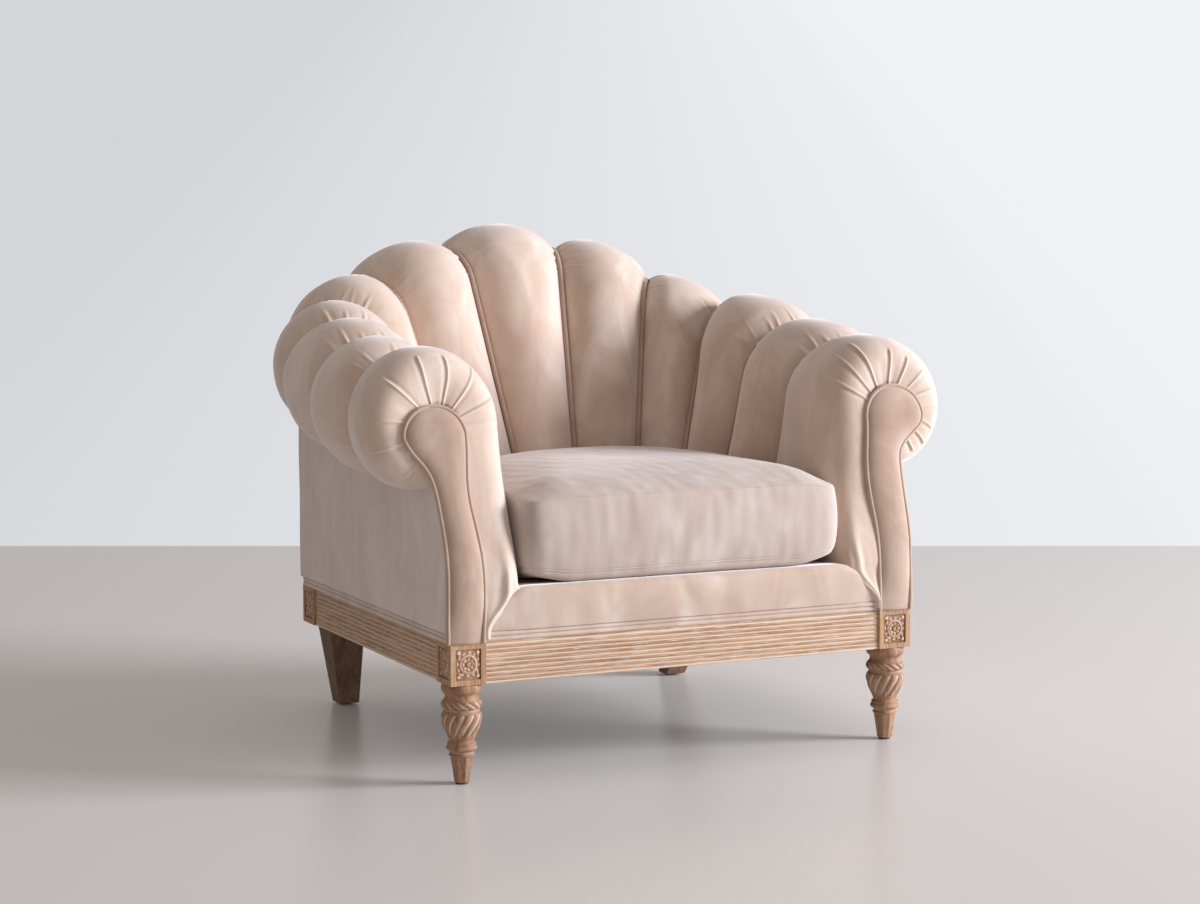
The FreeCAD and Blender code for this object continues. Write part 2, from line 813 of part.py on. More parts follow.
def build_deck():
    inner = panel_inner - seat_rail_thickness - clearance
    front = board_back + clearance
    rear = frame_rear - seat_rail_thickness - clearance
    pad = box(-inner, inner, front, rear, deck_top - deck_pad_thickness, deck_top)
    notch = box(seat_half_width + pad_thickness, inner + overrun, front - overrun,
                front + lean_back(deck_top), deck_top - deck_pad_thickness - overrun, deck_top + overrun)
    save("deck_pad", pad.cut(notch).cut(mirrored(notch)))


# Arm and back frame

def arm_outline(side, inside, outer, foot, y):
    """The arm's front outline: up the seat side, round the roll and down the outside."""
    seam = front_seam(side)
    over = -pad_thickness - inside
    radius = roll_radius + over
    end_angle = 1.5 * math.pi - math.asin((outer - inside - roll_half_span) / radius)
    edges = profile_wire(seam, over, foot, end_angle)
    neck = edges[-1].valueAt(edges[-1].LastParameter)
    edges.append(line(neck, at(neck.x, neck.y, foot)))
    edges.append(line(at(neck.x, neck.y, foot), edges[0].valueAt(edges[0].FirstParameter)))
    wire = Part.Wire(edges)
    wire.translate(at(0, y - front_plane, 0))
    return wire


def build_arm_frame():
    reach = base_width
    welt_room = box(-reach, reach, -reach, board_front, base_top - overrun, covers_foot)
    for name, side in (("left", -1), ("right", 1)):
        board = Part.Face(arm_outline(side, board_inset, panel_inner, base_top, board_front))
        board = leaned(board.extrude(at(0, arm_board_thickness, 0)))
        save("arm_board_" + name, board.cut(welt_room))
        rail_outer = side * panel_inner
        rail_inner = side * (panel_inner - seat_rail_thickness)
        x_low, x_high = sorted((rail_outer, rail_inner))
        post_y = frame_rear - rear_post_side
        save("arm_rail_" + name, rail_behind_board(x_low, x_high, post_y, arm_rail_foot,
                                                   arm_rail_foot + arm_rail_height))
        post_x = side * (panel_inner - rear_post_side)
        x_low, x_high = sorted((rail_outer, post_x))
        save("rear_post_" + name, box(x_low, x_high, post_y, frame_rear, deck_top, rear_post_top))


def back_stay(seam):
    """A leaning board from the rear seat rail to the underside of the roll."""
    rail_middle = frame_rear - seat_rail_thickness / 2
    out_low = (rail_middle - seam["corner"].y) / seam["outward"].y
    half = back_stay_thickness / 2
    core_low = seam["roll_height"] - (roll_radius - pad_thickness) - back_stay_drop
    rise = core_low - deck_top
    shift = seam["reach"] - half - out_low
    points = [
        place(seam, out_low - half, deck_top),
        place(seam, out_low + half, deck_top),
        place(seam, out_low + half + shift, deck_top + rise),
        place(seam, out_low - half + shift, deck_top + rise),
    ]
    across = at(-seam["outward"].y, seam["outward"].x, 0)
    stay = prism(points, across * back_stay_width)
    stay.translate(across * (-back_stay_width / 2))
    return stay


def build_back_stays():
    save("back_stays", *[back_stay(seams[0]) for seams in (left_seams, right_seams)])


def core_ring(seam):
    """A circle round the roll's centre, just inside the padding, with its seam facing the seat."""
    radius = roll_radius - pad_thickness - core_clearance
    centre = place(seam, seam["reach"], seam["roll_height"])
    ring = []
    quarters = 4
    turn = 2 * math.pi / quarters
    for quarter in range(quarters):
        start = quarter * turn
        points = []
        for share in (0, 0.5, 1):
            angle = start + share * turn
            sideways = seam["outward"] * (radius * math.cos(angle))
            points.append(centre - sideways + at(0, 0, radius * math.sin(angle)))
        ring.append(arc(*points))
    return Part.Wire(ring)


def all_sections():
    """Every seam plane in order, from the left arm's front to the right arm's front."""
    return [front_seam(-1)] + left_seams[::-1] + right_seams + [front_seam(1)]


def behind_arm_boards(sections):
    """One solid through closed sections in order, cut off behind the arm boards."""
    sections = [leaned(sections[0])] + sections[1:-1] + [leaned(sections[-1])]
    solids = [Part.makeLoft([a, b], True, True) for a, b in zip(sections, sections[1:])]
    whole = solids[0]
    for solid in solids[1:]:
        whole = whole.fuse(solid)
    reach = base_width
    top = base_top + reach
    back = board_back + clearance
    points = [
        at(-reach, -reach, 0),
        at(-reach, back + lean_back(0), 0),
        at(-reach, back + lean_back(top), top),
        at(-reach, -reach, top),
    ]
    return whole.cut(prism(points, at(2 * reach, 0, 0)))


def build_roll_core():
    save("roll_core", behind_arm_boards([core_ring(seam) for seam in all_sections()]))


def lining_strip(seam):
    """The cut end of the lining in one seam plane, from the deck up to the roll."""
    outer = -pad_thickness - clearance * 2
    inner = outer - lining_thickness
    foot = deck_top + clearance

    def corners(over):
        bend_high = bend_point(seam, 1, over)
        roll_start = roll_point(seam, seam["lean"], over)
        upper = bend_high + (roll_start - bend_high) * lining_top_share
        return [place(seam, -over, foot), bend_point(seam, 0, over), bend_high, upper]

    points = corners(outer) + corners(inner)[::-1]
    return polygon(points)


def build_lining():
    save("lining", behind_arm_boards([lining_strip(seam) for seam in all_sections()]))


# Covers

def build_channels():
    save("channel_middle", channel_between(left_seams[0], right_seams[0]))
    for name, side, seams in (("left", -1, left_seams), ("right", 1, right_seams)):
        for index, (seam_a, seam_b) in enumerate(zip(seams, seams[1:])):
            save("channel_%s_%d" % (name, index + 1), channel_between(seam_a, seam_b))
        save("channel_%s_%d" % (name, len(seams)), front_channel(side, seams[-1]))
        save("seam_piping_" + name, *[seam_piping(seam) for seam in seams])


def build_facings():
    for name, side in (("left", -1), ("right", 1)):
        face = Part.Face(arm_outline(side, facing_inset, panel_outer, covers_foot, front_plane))
        save("arm_facing_" + name, leaned(face.extrude(at(0, facing_thickness, 0))))
        seam = front_seam(side)
        radius = roll_radius - pad_thickness
        end_angle = 1.5 * math.pi - math.asin((panel_outer - roll_half_span) / radius) - piping_radius / radius
        forward = at(0, -piping_radius - clearance, 0)
        inner = tube(profile_wire(seam, -pad_thickness, covers_foot, end_angle), piping_radius)
        inner.translate(forward)
        x = side * (panel_outer - piping_radius)
        top = seam["roll_height"] - radius - piping_radius * 3
        outer = Part.makeCylinder(piping_radius, top - covers_foot, at(x, front_plane, covers_foot))
        outer.translate(forward)
        save("facing_piping_" + name, leaned(inner), leaned(outer))


def lobe_drop():
    """From the roll's middle down to just under the fullest channel's end."""
    return roll_radius + widest_chord * channel_crown_share * roll_crown_shares[-1] + outside_panel_top_drop


def build_outside_arms():
    for name, side, seams in (("left", -1, left_seams), ("right", 1, right_seams)):
        below = lobe_drop()
        front_top = front_seam(side)["roll_height"] - below
        points = [(board_front, covers_foot), (board_front + lean_back(front_top), front_top)]
        for seam in seams[::-1]:
            centre = place(seam, seam["reach"], seam["roll_height"])
            if abs(centre.x) > panel_inner - roll_radius:
                points.append((centre.y, centre.z - below))
        points.append((frame_rear, points[-1][1] + outside_corner_rise))
        points.append((frame_rear, covers_foot))
        outline = [at(side * panel_inner, y, z) for y, z in points]
        save("outside_arm_" + name, prism(outline, at(side * outside_panel_thickness, 0, 0)))


def back_strip(seam):
    """The cut end of the outside back in one seam plane."""
    below = lobe_drop()
    proud = panel_outer - roll_half_span
    out_top = seam["reach"] + proud
    out_low = (panel_rear - seam["corner"].y) / seam["outward"].y
    thick = outside_panel_thickness
    top = seam["roll_height"] - below
    return polygon([
        place(seam, out_low, covers_foot),
        place(seam, out_top, top),
        place(seam, out_top - thick, top),
        place(seam, out_low - thick, covers_foot),
    ])


def corner_strip(side, top):
    """The outside back's upright edge at a rear corner."""
    x = side * panel_outer
    return polygon([
        at(x, panel_rear, covers_foot),
        at(x, panel_rear, top),
        at(x, frame_rear, top),
        at(x, frame_rear, covers_foot),
    ])


def build_outside_back():
    corner_top = right_seams[2]["roll_height"] - lobe_drop() + outside_corner_rise
    strips = [corner_strip(-1, corner_top)]
    strips += [back_strip(seam) for seam in (left_seams[1], left_seams[0], right_seams[0], right_seams[1])]
    strips.append(corner_strip(1, corner_top))
    solids = [Part.makeLoft([a, b], True, True) for a, b in zip(strips, strips[1:])]
    back = solids[0]
    for solid in solids[1:]:
        back = back.fuse(solid)
    save("outside_back", back)


def build_base_welt():
    """Two rows of piping round the bottom of the covers, above the show wood."""
    radius = base_welt_radius
    x = panel_inner + radius + clearance / 2
    front = board_front - radius - clearance / 2
    rear = frame_rear + radius + clearance / 2
    corner = radius * 2
    rows = []
    for row in range(base_welt_rows):
        z = base_top + radius * (2 * row + 1)
        bent = corner * (1 - math.sqrt(0.5))
        edges = [
            line(at(0, front, z), at(x - corner, front, z)),
            arc(at(x - corner, front, z), at(x - bent, front + bent, z), at(x, front + corner, z)),
            line(at(x, front + corner, z), at(x, rear - corner, z)),
            arc(at(x, rear - corner, z), at(x - bent, rear - bent, z), at(x - corner, rear, z)),
            line(at(x - corner, rear, z), at(corner - x, rear, z)),
            arc(at(corner - x, rear, z), at(bent - x, rear - bent, z), at(-x, rear - corner, z)),
            line(at(-x, rear - corner, z), at(-x, front + corner, z)),
            arc(at(-x, front + corner, z), at(bent - x, front + bent, z), at(corner - x, front, z)),
            line(at(corner - x, front, z), at(-clearance, front, z)),
        ]
        rows.append(tube(edges, radius - clearance / 4))
    save("base_welt", *rows)


def build_front_border():
    """The padded band over the front seat rail, rounded over and laid on top of the rail."""
    half = seat_half_width + pad_thickness - piping_radius - clearance
    back = board_front - clearance
    front = back - front_border_depth
    round_z = deck_top - front_border_round
    lip_low = deck_top - front_border_lip
    bulge = front_border_round * (1 - math.sqrt(0.5))
    band = [
        line(at(-half, back, covers_foot), at(-half, front, covers_foot)),
        line(at(-half, front, covers_foot), at(-half, front, round_z)),
        arc(at(-half, front, round_z), at(-half, front + bulge / 2, round_z + front_border_round * front_border_round_share),
            at(-half, back, deck_top)),
        line(at(-half, back, deck_top), at(-half, board_back, deck_top)),
        line(at(-half, board_back, deck_top), at(-half, board_back, lip_low)),
        line(at(-half, board_back, lip_low), at(-half, back, lip_low)),
        line(at(-half, back, lip_low), at(-half, back, covers_foot)),
    ]
    save("front_border", Part.Face(Part.Wire(band)).extrude(at(2 * half, 0, 0)))


# Seat cushion

def cushion_ring(inset, height):
    """The cushion's plan: straight front, sides drawn in, wide rounded back corners."""
    half = cushion_half_width - inset
    front = cushion_front + inset
    back = cushion_back - inset
    back_half = cushion_back_half_width - inset / 2
    corner = cushion_front_corner
    near = corner * (1 - math.sqrt(0.5))
    run = front + (back - front) * cushion_side_run_share
    pull = cushion_side_pull
    bow = at(half * cushion_bow_across_share, run + (back - run) * cushion_bow_back_share, height)

    def flip(point):
        return at(-point.x, point.y, point.z)

    right = [
        at(half - corner, front, height),
        at(half - near, front + near, height),
        at(half, front + corner, height),
        at(half - pull, (front + corner + run) / 2, height),
        at(half - pull, run, height),
        bow,
        at(back_half, back, height),
    ]
    left = [flip(point) for point in right]
    edges = [
        line(left[0], right[0]),
        arc(right[0], right[1], right[2]),
        arc(right[2], right[3], right[4]),
        arc(right[4], right[5], right[6]),
        line(right[6], left[6]),
        arc(left[6], left[5], left[4]),
        arc(left[4], left[3], left[2]),
        arc(left[2], left[1], left[0]),
    ]
    return Part.Wire(edges)


def cushion_dome(seam_height, rise, inset):
    """The swell over or under the border, a quarter of an oval from the seam inwards."""
    rings = []
    for step in range(cushion_dome_steps + 1):
        angle = math.pi / 2 * step / cushion_dome_steps
        pulled = cushion_border_swell + inset * (1 - math.cos(angle))
        rings.append(cushion_ring(pulled, seam_height + rise * math.sin(angle)))
    return Part.makeLoft(rings, True, False)


def build_cushion():
    """A boxed cushion: a soft underside, an upright border and a crowned top."""
    low = deck_top + clearance
    seam_low = low + cushion_underside
    seam_high = seam_low + cushion_border
    border = [
        cushion_ring(cushion_border_swell, seam_low),
        cushion_ring(0, (seam_low + seam_high) / 2),
        cushion_ring(cushion_border_swell, seam_high),
    ]
    shell = Part.makeLoft(border, True, False)
    shell = shell.fuse(cushion_dome(seam_high, cushion_crown, cushion_top_inset))
    shell = shell.fuse(cushion_dome(seam_low, low - seam_low, cushion_under_inset))
    placket = cushion_back - zip_tape_thickness - cushion_border_swell
    back_cut = box(-cushion_half_width, cushion_half_width, placket, cushion_back + cushion_side_run,
                   low - overrun, seam_high + cushion_crown + overrun)
    shell = shell.cut(back_cut)
    core_low = seam_low + (cushion_border - core_height) / 2
    core = prism([
        at(core_inset - cushion_half_width, cushion_front + core_inset, core_low),
        at(cushion_half_width - core_inset, cushion_front + core_inset, core_low),
        at(cushion_half_width - core_inset, cushion_side_run, core_low),
        at(cushion_back_half_width, cushion_back - core_inset * 2, core_low),
        at(-cushion_back_half_width, cushion_back - core_inset * 2, core_low),
        at(core_inset - cushion_half_width, cushion_side_run, core_low),
    ], at(0, 0, core_height))
    save("seat_cushion", shell.cut(core))
    save("cushion_core", core)
    zip_middle = seam_low + cushion_border / 2
    half_tape = zip_tape_height / 2
    tape = box(-zip_length / 2, zip_length / 2, placket, placket + zip_tape_thickness,
               zip_middle - half_tape, zip_middle + half_tape)
    save("cushion_zip_tape", tape)
    slider_y = placket + zip_tape_thickness + clearance
    slider_x = -zip_length / 2 + zip_slider_length / 2
    half_slider = zip_slider_height / 2
    slider = box(slider_x, slider_x + zip_slider_length, slider_y, slider_y + zip_slider_thickness,
                 zip_middle - half_slider, zip_middle + half_slider)
    save("cushion_zip_slider", slider)


build_base()
build_braces()
build_dust_cover()
build_seat_frame()
build_springs()
build_deck()
build_arm_frame()
build_back_stays()
build_roll_core()
build_lining()
build_channels()
build_facings()
build_outside_arms()
build_outside_back()
build_base_welt()
build_front_border()
build_cushion()
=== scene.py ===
# %% [markdown]
# # A channel back armchair
#
# This lesson dresses a velvet armchair. Its wooden base, its hidden frame and the sizes of every
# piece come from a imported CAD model, which is loaded first and never changed. The upholstery is then
# worked out again as finer surfaces with numpy, because cloth has folds that a CAD solid lacks.
# Everything is in metres, with X to the right as seen from the front, Y to the back and Z up.

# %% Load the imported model
import math
import bpy
import numpy as np
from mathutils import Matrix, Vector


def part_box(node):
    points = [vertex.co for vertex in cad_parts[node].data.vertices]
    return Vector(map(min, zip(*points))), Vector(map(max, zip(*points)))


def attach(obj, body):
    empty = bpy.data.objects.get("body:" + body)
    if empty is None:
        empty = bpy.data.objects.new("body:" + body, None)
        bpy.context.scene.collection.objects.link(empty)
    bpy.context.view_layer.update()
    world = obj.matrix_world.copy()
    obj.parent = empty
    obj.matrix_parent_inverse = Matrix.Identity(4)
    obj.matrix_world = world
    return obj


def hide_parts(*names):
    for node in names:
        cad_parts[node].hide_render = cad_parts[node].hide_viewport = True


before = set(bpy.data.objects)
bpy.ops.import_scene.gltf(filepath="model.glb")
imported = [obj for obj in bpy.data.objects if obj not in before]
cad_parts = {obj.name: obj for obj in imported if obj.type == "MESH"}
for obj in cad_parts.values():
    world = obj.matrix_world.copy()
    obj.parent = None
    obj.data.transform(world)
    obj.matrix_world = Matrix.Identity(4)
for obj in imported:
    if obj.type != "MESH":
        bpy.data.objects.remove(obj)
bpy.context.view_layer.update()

# %% [markdown]
# ## Surfaces from arrays
#
# Nearly every soft piece here is a skin made of rings: a ring is one cross-section, and the rings
# follow each other along the piece. Blender could loft curves for this, but an array of points gives
# control over each crease. The skin is closed with a middle point at each end, and its faces are
# turned outwards by checking the sign of its volume.

# %% Skins made of rings
def put_mesh(name, points, faces):
    """A mesh from arrays: points is (n, 3), and faces is a list of (k, 3) or (k, 4) index arrays."""
    halves = [f if f.shape[1] == 3 else np.concatenate([f[:, :3], f[:, [0, 2, 3]]]) for f in faces]
    corners = points[np.concatenate(halves)]
    volume = np.einsum("ij,ij->i", corners[:, 0], np.cross(corners[:, 1], corners[:, 2])).sum()
    if volume < 0:
        faces = [f[:, ::-1] for f in faces]
    mesh = bpy.data.meshes.new(name)
    mesh.vertices.add(len(points))
    mesh.vertices.foreach_set("co", points.astype(np.float32).ravel())
    loops = np.concatenate([f.ravel() for f in faces]).astype(np.int32)
    sizes = np.concatenate([np.full(len(f), f.shape[1]) for f in faces])
    mesh.loops.add(len(loops))
    mesh.loops.foreach_set("vertex_index", loops)
    mesh.polygons.add(len(sizes))
    mesh.polygons.foreach_set("loop_start", (np.cumsum(sizes) - sizes).astype(np.int32))
    mesh.update(calc_edges=True)
    mesh.validate()
    mesh.shade_smooth()
    return mesh


def ring_faces(rows, columns, offset=0):
    """Faces of a closed skin: four-sided between rings, three-sided at the two end points."""
    index = np.arange(rows * columns).reshape(rows, columns) + offset
    turned = np.roll(index, -1, axis=1)
    sides = np.stack([index[:-1], turned[:-1], turned[1:], index[1:]], -1).reshape(-1, 4)
    first = np.full(columns, offset + rows * columns)
    start = np.stack([turned[0], index[0], first], -1)
    end = np.stack([index[-1], turned[-1], first + 1], -1)
    return [sides, np.concatenate([start, end])]


def ring_points(rings):
    """The points of a closed skin: those of its rings, (rows, columns, 3), and the two end points."""
    return np.concatenate([rings.reshape(-1, 3), rings[0].mean(0)[None], rings[-1].mean(0)[None]])


def skins(name, ring_sets, body="frame"):
    """Closed skins, each from its own rings, as one piece that rides on a body."""
    points, quads, triangles, offset = [], [], [], 0
    for rings in ring_sets:
        sides, ends = ring_faces(*rings.shape[:2], offset)
        points.append(ring_points(rings))
        quads.append(sides)
        triangles.append(ends)
        offset += len(points[-1])
    faces = [np.concatenate(quads), np.concatenate(triangles)]
    return add_piece(name, put_mesh(name, np.concatenate(points), faces), body)


def skin(name, rings, body="frame"):
    """One closed skin as a piece."""
    return skins(name, [rings], body)


pieces = {}


def add_piece(name, mesh, body):
    """Puts a mesh into the scene as a piece that rides on a body."""
    piece = bpy.data.objects.new(name, mesh)
    bpy.context.scene.collection.objects.link(piece)
    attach(piece, body)
    pieces[name] = piece
    return piece


def unit(vectors):
    """The same directions with length 1."""
    return vectors / np.linalg.norm(vectors, axis=-1, keepdims=True)


def ease(low, high, x):
    """A smooth step from 0 at low to 1 at high."""
    t = np.clip((x - low) / (high - low), 0, 1)
    return t * t * (3 - 2 * t)


def cord_rings(line, radius, pole, columns=14):
    """Rings of a round cord along a line (n, 3) that lies in a plane: each ring is square to the
    line, and pole is the direction square to the plane."""
    along = unit(np.gradient(line, axis=0))
    across = unit(np.cross(along, pole))
    up = np.cross(across, along)
    turn = np.linspace(0, 2 * math.pi, columns, endpoint=False)[None, :, None]
    return line[:, None] + radius * (np.cos(turn) * across[:, None] + np.sin(turn) * up[:, None])


def even_line(points, count):
    """The same line with count points, evenly spaced along it."""
    steps = np.linalg.norm(np.diff(points, axis=0), axis=1)
    length = np.concatenate([[0], np.cumsum(steps)])
    spots = np.linspace(0, length[-1], count)
    return np.stack([np.interp(spots, length, points[:, k]) for k in range(points.shape[1])], -1)


def outward_normals(grid, towards):
    """The unit normal at each point of a grid, on the side that the vectors towards point to."""
    normals = unit(np.cross(np.gradient(grid, axis=0), np.gradient(grid, axis=1)) + 1e-12)
    sign = np.sign(np.sum(normals * towards, -1).mean())
    return normals * sign


def soft_waves(points, size, seed):
    """Slow, uneven waves between about -1 and 1: nine sines in chance directions, size apart."""
    rng = np.random.default_rng(seed)
    directions = unit(rng.normal(size=(9, 3))) * (2 * math.pi / size) * rng.uniform(0.6, 1.5, (9, 1))
    phases = rng.uniform(0, 2 * math.pi, 9)
    return np.sin(points @ directions.T + phases).sum(-1) / 4


# %% [markdown]
# ## The seams
#
# On the real chair a carcase of boards and webbing carries long padded channels, and piping is sewn
# into each seam between them. A seam lies in one upright plane: it rises from the deck behind the
# cushion, bends outwards, leans back and goes over the roll of the arm. Eleven seams and two arm
# fronts shape the twelve channels, so they are worked out once and every soft piece reads them.

# %% Sizes of the seat, the roll and the seams
BACKWARD = 0.41969
FRONT_PLANE = 0.002 - BACKWARD
SEAT_HALF, SEAT_DEPTH = 0.302, 0.525
ROLL_HALF, ROLL_DEPTH = 0.385, 0.721
ARM_CREST, BACK_CREST = 0.603, 0.764
LEAN_START, BEND_RADIUS, ROLL_RADIUS = 0.400, 0.200, 0.080
PAD, PIPING = 0.030, 0.004
DECK_TOP, COVERS_FOOT = 0.288, 0.2257
PANEL_X, PANEL_REAR = 0.394, 0.657 - BACKWARD
RIGHT_ROWS = ((0.179, 1.000, 0.262, 1.000, 1.00), (0.549, 0.983, 0.681, 0.932, 0.66),
              (0.758, 0.891, 0.925, 0.796, 0.33), (0.901, 0.747, 0.998, 0.524, 0.16),
              (0.974, 0.488, 1.000, 0.294, 0.00))
LEFT_ROWS = ((0.179, 1.000, 0.262, 1.000, 1.00), (0.549, 0.983, 0.681, 0.932, 0.68),
             (0.758, 0.891, 0.927, 0.800, 0.43), (0.887, 0.766, 0.996, 0.641, 0.27),
             (0.940, 0.606, 1.000, 0.466, 0.13), (0.980, 0.442, 1.000, 0.284, 0.00))
UP = np.array([0.0, 0.0, 1.0])
FRONT_LEAN = 0.1816
SIDES = (("left", -1), ("right", 1))


def lean_back(z):
    """How far an arm's front has leaned back at height z: 18 cm for each metre above its foot."""
    return FRONT_LEAN * (z - COVERS_FOOT)


def seam_between(corner, centre, roll_height):
    """A seam from the seat's corner to the roll's centre: its lean is the slope of the line that
    leaves the seat and touches the roll."""
    reach = np.linalg.norm(centre - corner)
    rise = roll_height - LEAN_START
    lean = math.atan2(reach, rise) - math.asin(ROLL_RADIUS / math.hypot(reach, rise))
    return {"corner": corner, "outward": (centre - corner) / reach, "reach": reach, "lean": lean,
            "roll_height": roll_height, "bend_start": LEAN_START - BEND_RADIUS * math.tan(lean / 2)}


def seam_from_row(side, row):
    """A seam from its row of shares: corner across and back, roll across and back, crest."""
    corner = np.array([side * row[0] * SEAT_HALF, row[1] * SEAT_DEPTH - BACKWARD, 0])
    centre = np.array([side * row[2] * ROLL_HALF, row[3] * ROLL_DEPTH - BACKWARD, 0])
    return seam_between(corner, centre, ARM_CREST + row[4] * (BACK_CREST - ARM_CREST) - ROLL_RADIUS)


def front_seam(side):
    """The seam along an arm's front, which lies in the front plane."""
    return seam_between(np.array([side * SEAT_HALF, FRONT_PLANE, 0]),
                        np.array([side * ROLL_HALF, FRONT_PLANE, 0]), ARM_CREST - ROLL_RADIUS)


right_seams = [seam_from_row(1, row) for row in RIGHT_ROWS]
left_seams = [seam_from_row(-1, row) for row in LEFT_ROWS]
print(len(left_seams) + len(right_seams), "seams, leaning",
      [round(math.degrees(s["lean"])) for s in left_seams[::-1] + right_seams], "degrees")

# %% A line up a seam
RISE_ROWS, BEND_ROWS, LEAN_ROWS, ROLL_ROWS = 36, 12, 50, 180
END_TURN = 1.5 * math.pi - 0.135


def arc(turn, middle_out, middle_up, radius):
    """Points (out, up, turn) of an arc in a seam's plane, from its middle and its radius."""
    return np.stack([middle_out - radius * np.cos(turn), middle_up + radius * np.sin(turn), turn], -1)


def seam_line(seam, foot, end_turn=END_TURN, roll_rows=ROLL_ROWS):
    """Points up a seam, the direction out of the padding at each, and its turn: nothing on the
    rise, the lean's angle on the straight run, and the way round the roll after that."""
    lean = seam["lean"]
    rise = np.linspace(foot, seam["bend_start"], RISE_ROWS, endpoint=False)
    rise = np.stack([rise * 0, rise, rise * 0], -1)
    bend_arc = (BEND_RADIUS, seam["bend_start"], BEND_RADIUS)
    roll_arc = (seam["reach"], seam["roll_height"], ROLL_RADIUS)
    bend = arc(np.linspace(0, lean, BEND_ROWS, endpoint=False), *bend_arc)
    roll = arc(np.linspace(lean, end_turn, roll_rows), *roll_arc)
    bend_end, roll_start = arc(lean, *bend_arc), arc(lean, *roll_arc)
    share = np.linspace(0, 1, LEAN_ROWS, endpoint=False)[:, None]
    straight = bend_end + (roll_start - bend_end) * share
    table = np.concatenate([rise, bend, straight, roll])
    points = seam["corner"] + seam["outward"] * table[:, :1] + UP * table[:, 1:2]
    normals = np.sin(table[:, 2:]) * UP - np.cos(table[:, 2:]) * seam["outward"]
    return points, normals, table[:, 2]


# %% [markdown]
# ## Channels
#
# A channel is a long sock of velvet round stuffing, flat where it is sewn and full between the
# seams. Its cross-section here is a rounded hump: the height over the chord between two seams is the
# fullness times (1 - |s| to a power) to a root, with s from one seam to the other, which stands
# steep at the seams as stuffed cloth does. Where the channel goes over the roll, the outside of the
# hump is longer than the seams, so the cloth there gathers into short ridges square to the seam.

# %% Fullness and gathers
ROLL_FULLNESS = (1.00, 1.00, 1.00, 1.00, 0.99, 0.96, 0.88, 0.74, 0.52)
CROWN_SHARE = 0.235


def fullness(height, turn, lean):
    """How full a channel is along its run: slightly more near the seat, less under the roll."""
    share = np.clip((turn - lean) / (END_TURN - lean), 0, 1)
    spots = np.linspace(0, 1, len(ROLL_FULLNESS))
    before = 0.04 * (1 - ease(DECK_TOP, DECK_TOP + 0.22, height)) * (turn <= lean)
    return (np.interp(share, spots, ROLL_FULLNESS) + before) * CROWN_SHARE


def gathers(run, depth, seed, start, end, pitch=0.025, height=0.0058, length=0.026):
    """Short ridges square to a seam. run is the way along the seam, depth the way from it: each
    ridge is a narrow bell along the run that fades with a wider bell over the depth."""
    rng = np.random.default_rng(seed)
    count = max(int((end - start) / pitch), 1)
    spots = start + (np.arange(count) + rng.uniform(-0.35, 0.35, count)) * pitch
    heights = height * rng.uniform(0.25, 1.0, count)
    widths = rng.uniform(0.0024, 0.0042, count)
    lengths = length * rng.uniform(0.5, 1.25, count)
    slants = rng.uniform(-0.25, 0.25, count)
    shape = (slice(None), None, None)
    offset = (run[None] - spots[shape] - slants[shape] * depth[None]) / widths[shape]
    ridge = np.exp(-offset ** 2) - 0.45 * np.exp(-(offset * 0.5) ** 2)
    return (heights[shape] * ridge * np.exp(-(depth[None] / lengths[shape]) ** 2)).sum(0)


# %% One channel between two seams
GROOVE = 0.0036
GATHERED = (0.05, 0.44)     # the gathers' first and last turn, in tens of radians
SIDE_STEPS = np.array([0.0, 0.25, 0.5, 0.75])
BACK_COLUMNS = 8
TUCK_ROWS = 7


def between(a, normal_a, b, normal_b):
    """The chord from seam a to seam b at each station: its length, its direction, and the way out of
    the padding, square to the chord."""
    chord = b - a
    width = np.linalg.norm(chord, axis=1, keepdims=True)
    across = chord / width
    lift = normal_a + normal_b
    return width, across, unit(lift - across * np.sum(lift * across, 1, keepdims=True))


def closed_section(surface, side_a, side_b, inner_a, inner_b):
    """Rings from the outer surface (rows, columns, 3), down one side, along the back and up again."""
    steps = SIDE_STEPS[None, :, None]
    up_a = inner_a[:, None] + (side_a - inner_a)[:, None] * steps
    down_b = (side_b[:, None] + (inner_b - side_b)[:, None] * (steps + 0.25))
    back = np.linspace(0, 1, BACK_COLUMNS + 2)[1:-1][None, :, None]
    back = inner_b[:, None] + (inner_a - inner_b)[:, None] * back
    return np.concatenate([up_a, surface, down_b, back], axis=1)


def tucked_end(rings, reach):
    """The last ring drawn in over a quarter turn, so that the end is round, not cut off."""
    last = rings[-1]
    middle = last.mean(0)
    onward = unit((rings[-1] - rings[-3]).mean(0))
    turn = np.linspace(0, math.pi / 2, TUCK_ROWS + 2)[1:-1, None, None]
    tuck = middle + (last - middle) * np.cos(turn) + onward * reach * np.sin(turn)
    return np.concatenate([rings, tuck])


